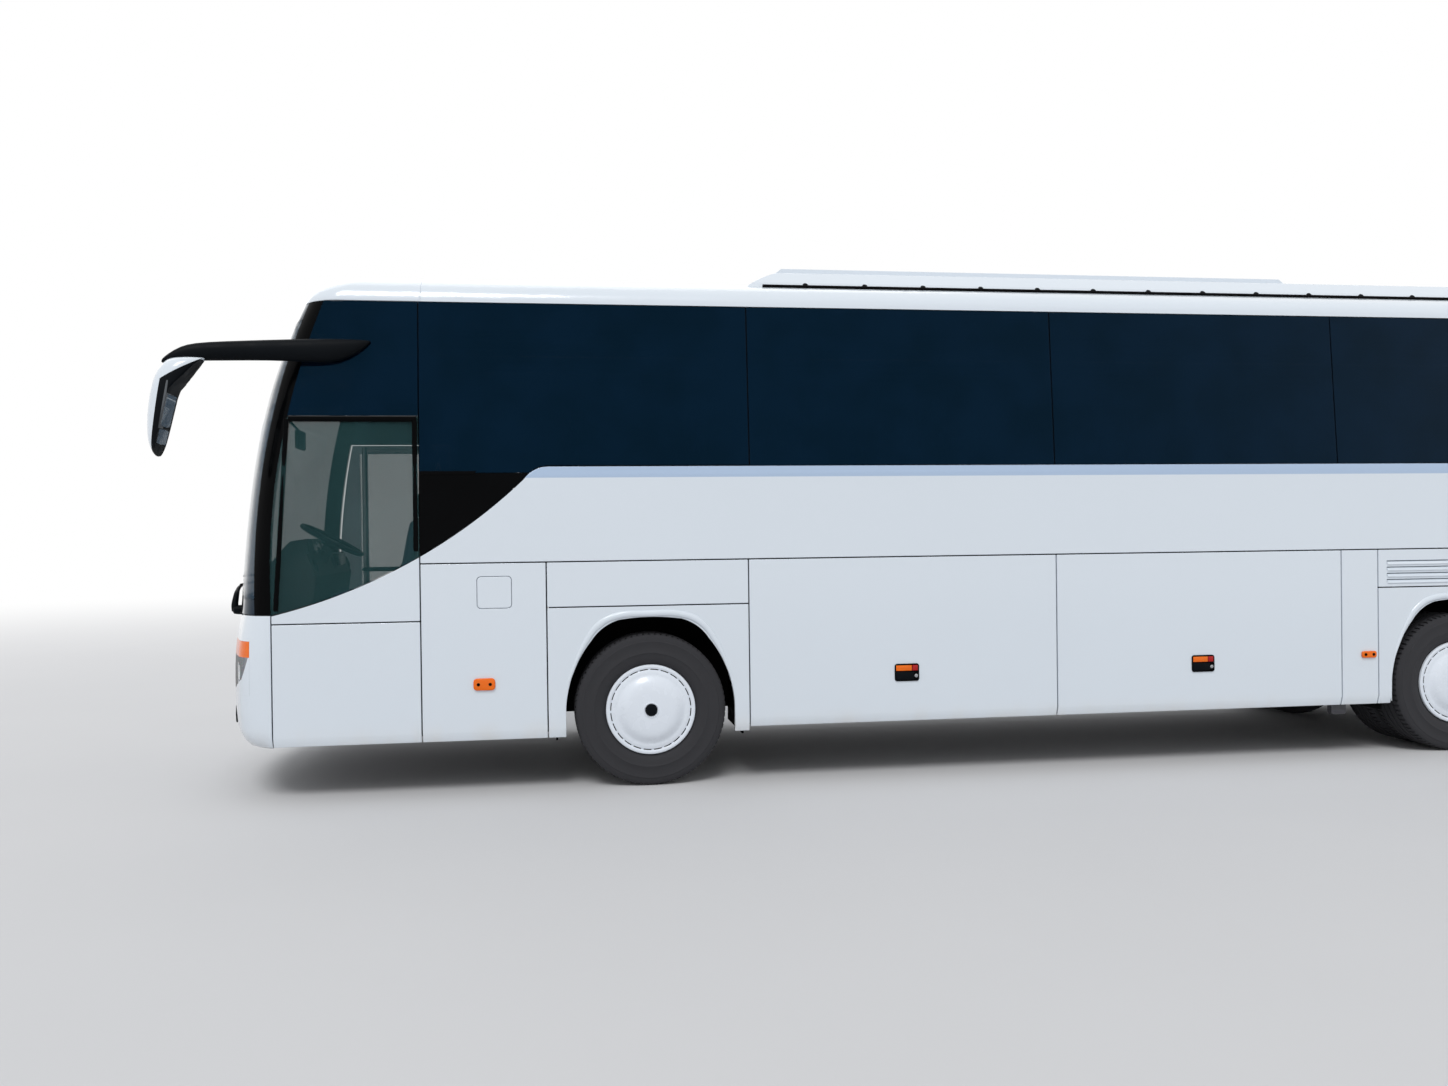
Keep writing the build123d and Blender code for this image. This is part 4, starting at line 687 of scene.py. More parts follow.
def fit(piece: Piece, body: str, stock: Stock, smooth: float = 40.0,
        weighted: bool = False) -> Piece:
    """Give a piece its finish, its shading and the body that it moves with.

    Args:
        piece: The finished mesh.
        body: The body it rides on.
        stock: Its finish.
        smooth: Edges flatter than this many degrees are shaded smooth.
        weighted: Whether large faces keep their own flat shading up to the soft edges.

    Returns:
        The same piece.
    """
    if not piece.data.materials:
        piece.data.materials.append(stock.value.material())
    take(piece)
    bpy.ops.object.shade_smooth_by_angle(angle=math.radians(smooth))
    if weighted:
        modify(piece, "WEIGHTED_NORMAL", keep_sharp=True, weight=80)
    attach(piece, body)
    return piece


def second_finish(piece: Piece, first: Stock, second: Stock, test: Callable[[Vector, Vector], bool]) -> None:
    """Give some faces of a piece another finish.

    Args:
        piece: The mesh object.
        first: The finish of most faces.
        second: The finish of the faces that pass the test.
        test: Takes a face's centre and normal.
    """
    if not piece.data.materials:
        piece.data.materials.append(first.value.material())
    piece.data.materials.append(second.value.material())
    with editing(piece):
        pick_faces(piece, test)
        piece.active_material_index = len(piece.data.materials) - 1
        bpy.ops.object.material_slot_assign()


# The coach's own places, read from the frame


def joint_place(name: str) -> Vector:
    """Return the point of a joint of the frame, in metres."""
    return Vector(next(j["pos_m"] for j in frame["joints"] if j["name"] == name))


def merged(node: str, name: str) -> Piece:
    """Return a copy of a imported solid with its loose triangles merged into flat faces.

    Args:
        node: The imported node.
        name: The copy's name.

    Returns:
        The copy, free of its body.
    """
    take(frame["nodes"][node])
    bpy.ops.object.duplicate(linked=False)
    piece = named(name)
    bpy.ops.object.parent_clear(type="CLEAR")
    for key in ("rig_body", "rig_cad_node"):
        del piece[key]
    piece.data.materials.clear()
    with editing(piece):
        bpy.ops.mesh.remove_doubles(threshold=1e-5)
        bpy.ops.mesh.dissolve_limited(angle_limit=math.radians(0.6))
    return piece


LEFT_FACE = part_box("luggage_door_left_front")[0].y
SIDES = {"left": -1, "right": 1}
AXLES = {"front": joint_place("wheel_front_left_spin"), "rear": joint_place("wheel_rear_left_spin")}
ROOF_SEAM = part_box("roof_panel")[0].z
NOSE_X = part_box("front_mask")[0].x
TAIL_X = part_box("rear_panel")[1].x


@dataclass(frozen=True)
class Bow:
    """The bowed face of the nose or the tail."""

    tip: float
    radius: float
    way: int
    rows: tuple[tuple[float, float], ...]

    def back(self, z: float) -> float:
        """Return how far the face lies behind its tip at a height."""
        for (z0, back0), (z1, back1) in zip(self.rows, self.rows[1:]):
            if z <= z1:
                return back0 + (back1 - back0) * (z - z0) / (z1 - z0)
        return self.rows[-1][1]

    def x(self, y: float, z: float, out: float = 0.0) -> float:
        """Return where the face lies, or a place that far outside it."""
        sag = self.radius - math.sqrt(self.radius ** 2 - y * y)
        return self.tip + self.way * (out - self.back(z) - sag)

    def facing(self, y: float) -> Vector:
        """Return the level direction that the face looks in at a distance from the middle."""
        share = y / self.radius
        return Vector((self.way * math.sqrt(1 - share * share), share, 0.0))

    def strip(self, name: str, low_y: float, high_y: float, low_z: float, high_z: float, out: float,
              depth: float, steps: int = 8) -> Piece:
        """Make a slab that follows the face.

        Args:
            name: The new object's name.
            low_y: Its first end across the coach.
            high_y: Its other end.
            low_z: Its lowest height.
            high_z: Its highest height.
            out: How far its front stands outside the face.
            depth: Its thickness.
            steps: Segments along the bow.

        Returns:
            The slab with soft edges.
        """
        places = [low_y + (high_y - low_y) * i / steps for i in range(steps + 1)]
        outline = [(self.x(y, low_z, out), y, low_z) for y in places]
        outline += [(self.x(y, low_z, out - depth), y, low_z) for y in reversed(places)]
        lean = self.x(0, high_z) - self.x(0, low_z)
        slab = plate(name, outline, (lean, 0, high_z - low_z))
        return modify(slab, "BEVEL", width=min(depth, high_z - low_z) * 0.2, segments=2, limit_method="ANGLE",
                      angle_limit=math.radians(50))


NOSE = Bow(NOSE_X, 3.200, -1, ((0.345, 0.105), (0.385, 0.044), (0.420, 0.024), (0.460, 0.011), (0.568, 0.003),
                               (0.686, 0.0), (0.985, 0.009), (1.200, 0.047), (1.205, 0.040), (1.883, 0.103),
                               (2.499, 0.207),
                               (3.072, 0.389), (3.262, 0.475)))
TAIL = Bow(TAIL_X, 7.000, 1, ((0.0, 0.0), (2.087, 0.0), (3.262, 0.130)))


def dressed(stock: Stock, piece: Piece) -> Piece:
    """Give a part its own finish before it is joined to others."""
    piece.data.materials.append(stock.value.material())
    return piece


@dataclass
class Shells:
    """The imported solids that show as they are: given finishes, or a merged copy with soft edges."""

    edge: float = 0.005

    finishes = {
        "cabin_glass": Stock.SIDE_GLASS, "windscreen": Stock.SCREEN, "driver_window": Stock.CAB_GLASS,
        "entry_glass_front": Stock.CAB_GLASS, "entry_glass_middle": Stock.SIDE_GLASS,
        "window_surrounds": Stock.GLOSS_BLACK, "wheel_arches": Stock.LINER, "cabin_floor": Stock.FLOOR,
        "underframe": Stock.FRAME, "engine_block": Stock.IRON, "front_axle": Stock.IRON,
        "rear_axle": Stock.IRON,
        "knuckle_left": Stock.IRON, "knuckle_right": Stock.IRON, "entry_arm_front": Stock.STEEL,
        "entry_arm_middle": Stock.STEEL, "dashboard": Stock.DASH, "steering_wheel": Stock.SATIN_BLACK,
        "front_lamps": Stock.CLEAR, "tail_lamps": Stock.TAIL, "seats": Stock.CLOTH,
        "mirrors": Stock.SATIN_BLACK,
    }
    painted = (
        "front_mask", "roof_front_cap", "roof_panel", "roof_fairing", "rear_panel", "engine_lid",
        "side_panels_left", "side_panels_right", "fuel_flap", "entry_door_front", "entry_door_middle",
        "luggage_door_left_front", "luggage_door_left_rear", "luggage_door_right_front",
        "luggage_door_right_rear",
    )

    def build(self) -> int:
        """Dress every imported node.

        Returns:
            How many nodes were dressed.
        """
        for node, stock in self.finishes.items():
            data = frame["nodes"][node].data
            data.materials.clear()
            data.materials.append(stock.value.material())
        for node in self.painted:
            body = frame["nodes"][node]["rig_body"]
            piece = merged(node, f"{node}_skin")
            modify(piece, "BEVEL", width=self.edge, segments=3, limit_method="ANGLE",
                   angle_limit=math.radians(50), use_clamp_overlap=True)
            fit(piece, body, Stock.PAINT, 50.0, weighted=True)
            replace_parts(piece, node)
        return len(self.finishes) + len(self.painted)


@dataclass
class Wheels:
    """Tyres with their tread, and the rims under round covers."""

    radius: float = 0.515
    bore: float = 0.2903
    tread_steps: int = 240
    groove_every: int = 3
    groove_depth: float = 0.009
    cover_steps: int = 96
    twin_pitch: float = 0.327
    spindle: float = 0.037
    drive_spindle: float = 0.062

    def tyre(self) -> Piece:
        """Return one tyre about the origin, its outer side towards -Y.

        Returns:
            The tyre with grooves and shoulder blocks.
        """
        crown = [(0.122, 0.5115)]
        for groove in (0.078, 0.026, -0.026, -0.078):
            for reach, depth in ((0.006, 0.0), (0.004, 0.012), (-0.004, 0.012), (-0.006, 0.0)):
                s = groove + reach
                crown.append((s, 0.5148 - 0.12 * s * s - depth))
        crown.append((-0.122, 0.5115))
        wall = [(0.1335, 0.5050), (0.1425, 0.4900), (0.1452, 0.4720), (0.1462, 0.4640), (0.1480, 0.4620),
                (0.1480, 0.4580), (0.1472, 0.4560), (0.1488, 0.4200), (0.1480, 0.3905), (0.1490, 0.3885),
                (0.1490, 0.3840), (0.1474, 0.3820), (0.1452, 0.3650), (0.1438, 0.3600), (0.1400, 0.3400),
                (0.1300, 0.3220), (0.1180, 0.3110), (0.1150, 0.3060), (0.1140, self.bore)]
        inner = [(-s, r) for s, r in reversed(wall)]
        profile = crown[::-1] + wall + inner
        profile = profile + profile[:1]
        tyre = turned("tyre_model", profile, (0, 0, 0), (0, -1, 0), self.tread_steps)

        def shoulder(centre: Vector, normal: Vector) -> bool:
            """Say whether a face lies in a cross groove of the shoulder."""
            turn = math.atan2(centre.z, centre.x) / math.tau % 1.0
            cell = int(turn * self.tread_steps) % self.groove_every == 0
            return cell and math.hypot(centre.x, centre.z) > 0.500 and abs(centre.y) > 0.084

        with editing(tyre):
            pick_faces(tyre, shoulder)
            bpy.ops.mesh.extrude_region_shrink_fatten(
                TRANSFORM_OT_shrink_fatten={"value": -self.groove_depth})
        return tyre

    def rim(self, twin: float, bore: float, reach: float) -> Piece:
        """Return one rim with its cover about the origin, its outer side towards -Y.

        Args:
            twin: Distance to the inner tyre, or nothing on a single wheel.
            bore: Radius of the spindle's hole.
            reach: How far the spindle comes out.

        Returns:
            The rim, its cover and its cap in their finishes.
        """
        cover = [(0.1600, 0.0), (0.1600, 0.0435), (0.1618, 0.0450), (0.1690, 0.0460), (0.1700, 0.0490),
                 (0.1690, 0.0520), (0.1655, 0.0535), (0.1645, 0.0900), (0.1630, 0.1300), (0.1605, 0.1600),
                 (0.1570, 0.1780), (0.1510, 0.1930), (0.1430, 0.2080), (0.1355, 0.2220), (0.1318, 0.2310),
                 (0.1310, 0.2400), (0.1318, 0.2660), (0.1300, 0.2688), (0.1272, 0.2695), (0.1272, 0.2740),
                 (0.1310, 0.2755), (0.1350, 0.2830), (0.1360, 0.2930), (0.1330, 0.3010), (0.1270, 0.3045),
                 (0.1185, 0.3040), (0.1160, self.bore)]
        edge = [(-0.1160, self.bore), (-0.1180, 0.3030), (-0.1280, 0.3030)]
        if twin:
            edge += [(-0.1280, 0.2800), (0.1280 - twin, 0.2800), (0.1280 - twin, 0.3030),
                     (0.1180 - twin, 0.3030), (0.1160 - twin, self.bore)]
            edge += [(s - twin, r) for s, r in edge[:3]]
        hub = [(-0.1280 - twin, 0.2620), (0.0700, 0.2620), (0.0840, 0.2420), (0.0840, 0.1100),
               (-0.0540, 0.1100), (-0.0540, bore), (reach, bore), (reach, 0.0)]
        rim = turned("rim_model", cover + edge + hub, (0, 0, 0), (0, -1, 0), self.cover_steps)

        def dashes(centre: Vector, normal: Vector) -> bool:
            """Say whether a face lies in the cover's broken groove."""
            turn = math.atan2(centre.z, centre.x) / math.tau % 1.0
            reach = math.hypot(centre.x, centre.z)
            return -centre.y > 0.1265 and 0.2685 < reach < 0.2752 and int(turn * self.cover_steps) % 4 != 0

        second_finish(rim, Stock.WHEEL, Stock.SEAL, dashes)
        second_finish(rim, Stock.WHEEL, Stock.FRAME, lambda c, n: c.y > -0.115)
        cap = turned("cap_model", [(0.1590, 0.0), (0.1590, 0.0410), (0.1650, 0.0410), (0.1675, 0.0390),
                                   (0.1690, 0.0300), (0.1698, 0.0150), (0.1700, 0.0)], (0, 0, 0), (0, -1, 0),
                                   40)
        cap.data.materials.append(Stock.SATIN_BLACK.value.material())
        return joined("rim_model", [rim, cap])

    def build(self) -> int:
        """Place a tyre and a rim at each corner, two tyres at each rear one.

        Returns:
            How many tyres were placed.
        """
        tyre = self.tyre()
        rims = {"front": self.rim(0.0, self.spindle, 0.105),
                "rear": self.rim(self.twin_pitch, self.drive_spindle, 0.105)}
        count = 0
        for end, axle in AXLES.items():
            for side_name, side in SIDES.items():
                corner = f"{end}_{side_name}"
                place = (axle.x, side * abs(axle.y), axle.z)
                flip = (1, -side, 1)
                tyres = [copied(tyre, "tyre_copy", place, flip)]
                if end == "rear":
                    inner = (axle.x, side * (abs(axle.y) - self.twin_pitch), axle.z)
                    tyres.append(copied(tyre, "tyre_copy_inner", inner, flip))
                rubber = joined(f"tyre_tread_{corner}", tyres)
                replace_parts(fit(rubber, f"wheel_{corner}", Stock.RUBBER, 35.0),
                            f"tyre_{corner}")
                rim = copied(rims[end], f"wheel_cover_{corner}", place, flip)
                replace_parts(fit(rim, f"wheel_{corner}", Stock.WHEEL, 35.0), f"rim_{corner}")
                count += len(tyres)
        take(tyre, *rims.values())
        bpy.ops.object.delete()
        return count


@dataclass
class Bodywork:
    """Small fittings of the outer skin: arch lips, markers, handles, louvres and roof caps."""

    face: float = abs(LEFT_FACE)
    lip_radius: float = 0.024
    lip_rows: tuple = (
        (0.571, 0.400, 0.12), (0.571, 0.480, 0.14), (0.562, 0.640, 0.20), (0.520, 0.780, 0.42),
        (0.397, 0.994, 0.85),
        (0.318, 1.078, 1.0), (0.210, 1.130, 1.0), (0.0, 1.146, 0.95),
    )

    def arch_lips(self) -> int:
        """Roll a soft white lip round each wheel arch.

        Returns:
            How many lips were made.
        """
        half = [(x + self.lip_radius * share, z + self.lip_radius * share * (z > 0.9), share)
                for x, z, share in self.lip_rows]
        rows = [(-x, z, share) for x, z, share in half] + [(x, z, share) for x, z, share in half[-2::-1]]
        points = [(x, 0.0, z) for x, z, share in rows]
        model = bar("lip_model", points, self.lip_radius, radii=[share for x, z, share in rows])
        with editing(model):
            bpy.ops.transform.resize(value=(1, 0.6, 1), center_override=(0, 0, 0))
        for end, axle in AXLES.items():
            for side_name, side in SIDES.items():
                lip = copied(model, f"arch_lip_{end}_{side_name}", (axle.x, side * (self.face - 0.002), 0))
                fit(lip, "coach_body", Stock.PAINT, 60.0)
        take(model)
        bpy.ops.object.delete()
        return 4

    def marker(self, name: str, x: float, z: float, width: float, height: float, side: int) -> Piece:
        """Return an amber side marker with its two screws.

        Args:
            name: The piece's name.
            x: Its middle along the body.
            z: Its middle height.
            width: Its length along the body.
            height: Its height.
            side: -1 at the left, 1 at the right.

        Returns:
            The marker on the body's skin.
        """
        outline = [(x + u, side * (self.face - 0.001), z + v)
                   for u, v in rounded(width, height, height * 0.3)]
        lens = plate(name, outline, (0, side * 0.016, 0))
        modify(lens, "BEVEL", width=0.007, segments=3, limit_method="ANGLE", angle_limit=math.radians(60))
        lens.data.materials.append(Stock.AMBER.value.material())
        parts = [lens]
        for reach in (-width * 0.27, width * 0.27):
            screw = turned("screw", [(0.0, 0.011), (0.0030, 0.011), (0.0042, 0.009), (0.0042, 0.0055),
                                     (0.0022, 0.0045), (0.0022, 0.0)],
                           (x + reach, side * (self.face + 0.013), z), (0, side, 0), 16)
            screw.data.materials.append(Stock.GLOSS_BLACK.value.material())
            parts.append(screw)
        return fit(joined(name, parts), "coach_body", Stock.AMBER)

    def handle(self, name: str, body: str, x: float, z: float, side: int) -> Piece:
        """Return a luggage door's handle: a black bezel, a recessed grip, a lock and two reflectors.

        Args:
            name: The piece's name.
            body: The door it rides on.
            x: Its middle along the body.
            z: Its middle height.
            side: -1 at the left, 1 at the right.

        Returns:
            The handle on the door's skin.
        """
        def place(u: float, v: float, out: float) -> tuple[float, float, float]:
            """Return a point of the handle on the skin."""
            return (x + u, side * (self.face + out), z + v)

        width, height = 0.176, 0.122
        bezel = plate(name, [place(u, v, -0.002) for u, v in rounded(width, height, 0.018)],
                      (0, side * 0.010, 0))
        modify(bezel, "BEVEL", width=0.004, segments=2, limit_method="ANGLE", angle_limit=math.radians(60))
        with editing(bezel):
            pick_faces(bezel, lambda c, n: n.y * side > 0.9)
            bpy.ops.mesh.inset(thickness=0.006, depth=-0.0035)
        bezel.data.materials.append(Stock.GLOSS_BLACK.value.material())
        parts = [bezel]
        for low, high, v_low, v_high, out, stock in (
            (-0.078, 0.034, 0.012, 0.050, 0.0085, Stock.AMBER),
            (0.038, 0.078, 0.012, 0.050, 0.0080, Stock.RED),
            (-0.078, 0.052, -0.050, 0.004, 0.0070, Stock.SATIN_BLACK),
        ):
            corners = [place(low, v_low, 0.0), place(high, v_high, out)]
            lows = [min(a, b) for a, b in zip(*corners)]
            highs = [max(a, b) for a, b in zip(*corners)]
            part = block("handle_part", lows, highs, 0.002)
            part.data.materials.append(stock.value.material())
            parts.append(part)
        lock = turned("lock", [(0.0, 0.012), (0.007, 0.012), (0.008, 0.010), (0.008, 0.004), (0.0055, 0.003),
                               (0.0055, 0.0)], place(0.066, -0.024, 0.0), (0, side, 0), 20)
        lock.data.materials.append(Stock.STEEL.value.material())
        return fit(joined(name, parts + [lock]), body, Stock.GLOSS_BLACK)

    def louvres(self, side_name: str, side: int) -> Piece:
        """Return the blades of the engine's air intake on one side."""
        start, end = AXLES["rear"].x - 0.604, AXLES["rear"].x + 1.900
        blades = []
        for z in (1.292, 1.338, 1.384, 1.430):
            outline = [(start + 0.004, side * (self.face - out), z + v) for out, v in (
                (0.030, 0.010), (0.008, 0.004), (-0.004, -0.013), (-0.008, -0.016), (-0.006, -0.019),
                (0.002, -0.016), (0.012, -0.006), (0.030, -0.001))]
            blades.append(plate("blade", outline, (end - start - 0.008, 0, 0)))
        return fit(joined(f"intake_louvres_{side_name}", blades), "coach_body", Stock.PAINT,
                   35.0)

    def roof_caps(self) -> Piece:
        """Return the small black caps along both roof gutters."""
        first, pitch, count = -1.927, 0.433, 17
        caps = []
        for side in SIDES.values():
            cap = turned("cap", [(0.0, 0.020), (0.008, 0.019), (0.013, 0.012), (0.015, 0.0)],
                         (first, side * 1.010, 3.452), (0, side * 0.8, 0.6), 12)
            modify(cap, "ARRAY", count=count, use_relative_offset=False, use_constant_offset=True,
                   constant_offset_displace=(pitch, 0, 0))
            caps.append(cap)
        return fit(joined("roof_gutter_caps", caps), "coach_body", Stock.SATIN_BLACK)

    def gutters(self) -> Piece:
        """Return the grey groove strips between the roof and its fairings."""
        strips = []
        for side in SIDES.values():
            box_low, box_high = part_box("roof_fairing")
            strips.append(bar("gutter", [(box_low.x + 0.10, side * 1.022, 3.441), (0.0, side * 1.022, 3.441),
                                         (box_high.x - 0.06, side * 1.022, 3.441)], 0.013, curved=False))
        return fit(joined("roof_gutter_strips", strips), "coach_body", Stock.SEAL)

    def skirt_bracket(self) -> Piece:
        """Return the steel step bracket under the skirt ahead of the rear wheel."""
        brackets = []
        for side in SIDES.values():
            outline = [(1.978, side * 1.215, 0.395), (2.100, side * 1.215, 0.395),
                       (2.100, side * 1.215, 0.318),
                       (2.084, side * 1.215, 0.302), (1.994, side * 1.215, 0.302),
                       (1.978, side * 1.215, 0.318)]
            bracket = plate("bracket", outline, (0, -side * 0.050, 0))
            brackets.append(modify(bracket, "BEVEL", width=0.004, segments=2, limit_method="ANGLE"))
        return fit(joined("skirt_brackets", brackets), "coach_body", Stock.FRAME)

    def liner_skirts(self) -> Piece:
        """Return the dark liner skirts that close each wheel arch towards the floor; they are also a dark
        sheet standing in for the shade under the coach.
        """
        skirts = []
        # Partly painted shade: real arch liners, hung low so that they hide the lit floor where the coach's
        # shadow would fall.
        for end, half in (("front", 0.640), ("rear", 0.615)):
            x = AXLES[end].x
            for side in SIDES.values():
                for low_x, high_x in ((x - half, x - half + 0.016), (x + half - 0.016, x + half)):
                    inner, outer = sorted((side * 0.56, side * 1.205))
                    skirts.append(block("skirt", (low_x, inner, 0.325), (high_x, outer, 0.60), 0.004))
        return fit(joined("arch_liner_skirts", skirts), "coach_body", Stock.LINER)

    def build(self) -> int:
        """Make all the small fittings.

        Returns:
            How many pieces were made.
        """
        count = self.arch_lips()
        doors = {"left": ("front", "rear"), "right": ("front", "rear")}
        for side_name, side in SIDES.items():
            self.marker(f"side_marker_front_{side_name}", -4.182, 0.725, 0.142, 0.080, side)
            self.marker(f"side_marker_rear_{side_name}", 2.240, 0.750, 0.119, 0.050, side)
            self.marker(f"side_marker_tail_{side_name}", 5.300, 0.750, 0.119, 0.050, side)
            for door in doors[side_name]:
                body = f"luggage_door_{side_name}_{door}"
                low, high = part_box(body)
                x = {"front": -1.296, "rear": 0.921}[door]
                x = x if low.x < x - 0.1 and x + 0.1 < high.x else (low.x + high.x) / 2
                self.handle(f"{body}_handle", body, x, 0.720, side)
            self.louvres(side_name, side)
            count += 6
        for piece in (self.roof_caps, self.gutters, self.skirt_bracket, self.liner_skirts):
            piece()
            count += 1
        return count


@dataclass
class Glazing:
    """Seals and frames of the windows."""

    seam_zero: float = -4.587
    pitch: float = 2.200
    recess: float = 1.262
    sill: float = 2.166
    lean: float = 0.081

    def glass_half(self, z: float) -> float:
        """Return the half width of the glass face at a height."""
        return self.recess - max(0.0, self.lean * (z - self.sill) / (ROOF_SEAM - self.sill))

    def seam_seals(self) -> Piece:
        """Return the thin upright seals between the panes."""
        seals = []
        for side in SIDES.values():
            for i in range(5):
                low = 1.60 if i == 0 else self.sill
                x = self.seam_zero + i * self.pitch
                foot, head = self.glass_half(low) - 0.004, self.glass_half(3.25) - 0.004
                outline = [(x - 0.0035, side * foot, low), (x + 0.0035, side * foot, low),
                           (x + 0.0035, side * head, 3.25), (x - 0.0035, side * head, 3.25)]
                seals.append(plate("seal", outline, (0, -side * 0.012, 0)))
        return fit(joined("window_seam_seals", seals), "coach_body", Stock.SEAL)

    def driver_frame(self) -> list[Piece]:
        """Return the black frame and runner of the driver's window."""
        start, end, low, high = -5.405, -4.600, 1.60, 2.478
        pieces = []
        bars = (((start, high), (end, high), 0.020), ((end - 0.012, 1.610), (end - 0.012, high), 0.016),
                ((-5.498, 1.235), (start - 0.010, high), 0.016))
        for (x0, z0), (x1, z1), radius in bars:
            points = [(x0, -self.glass_half(z0) - 0.001, z0), (x1, -self.glass_half(z1) - 0.001, z1)]
            frame_bar = bar("frame_bar", points, radius, curved=False)
            with editing(frame_bar):
                bpy.ops.transform.resize(value=(1, 0.35, 1), center_override=(0, -self.glass_half(2.0), 0))
            pieces.append(frame_bar)
        return [fit(joined("driver_window_frame", pieces), "coach_body", Stock.GLOSS_BLACK)]

    def pane_foot(self) -> Piece:
        """Return the seals along the foot of the first panes."""
        seals = []
        for side in SIDES.values():
            y = side * (self.recess + 0.006)
            outline = [(-4.584, y, 2.112), (-4.240, y, 2.112), (-4.215, y, 2.134), (-4.584, y, 2.134)]
            seals.append(plate("seal", outline, (0, -side * 0.016, 0)))
        return fit(joined("first_pane_seals", seals), "coach_body", Stock.SEAL)

    def door_grip(self, door: str) -> Piece:
        """Return an entry door's grip plate and its inner rail."""
        low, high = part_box(f"entry_door_{door}")
        x, z = low.x + 0.075, 1.240
        outline = [(x + u, high.y - 0.002, z + v) for u, v in rounded(0.070, 0.150, 0.020)]
        grip = plate("grip", outline, (0, 0.010, 0))
        modify(grip, "BEVEL", width=0.004, segments=2, limit_method="ANGLE", angle_limit=math.radians(60))
        with editing(grip):
            pick_faces(grip, lambda c, n: n.y > 0.9)
            bpy.ops.mesh.inset(thickness=0.010, depth=-0.005)
        rail_x, rail_y = (low.x + high.x) / 2 + 0.20, high.y - 0.105
        rail = bar("rail", [(rail_x, rail_y + 0.050, 1.020), (rail_x, rail_y, 1.060), (rail_x, rail_y, 1.560),
                            (rail_x, rail_y + 0.050, 1.600)], 0.012)
        parts = [dressed(Stock.GLOSS_BLACK, grip), dressed(Stock.STEEL, rail)]
        return fit(joined(f"entry_door_{door}_grip", parts), f"entry_door_{door}", Stock.GLOSS_BLACK)

    def build(self) -> int:
        """Make the seals, frames and door grips.

        Returns:
            How many pieces were made.
        """
        self.seam_seals()
        self.pane_foot()
        grips = [self.door_grip(door) for door in ("front", "middle")]
        return 2 + len(grips) + len(self.driver_frame())


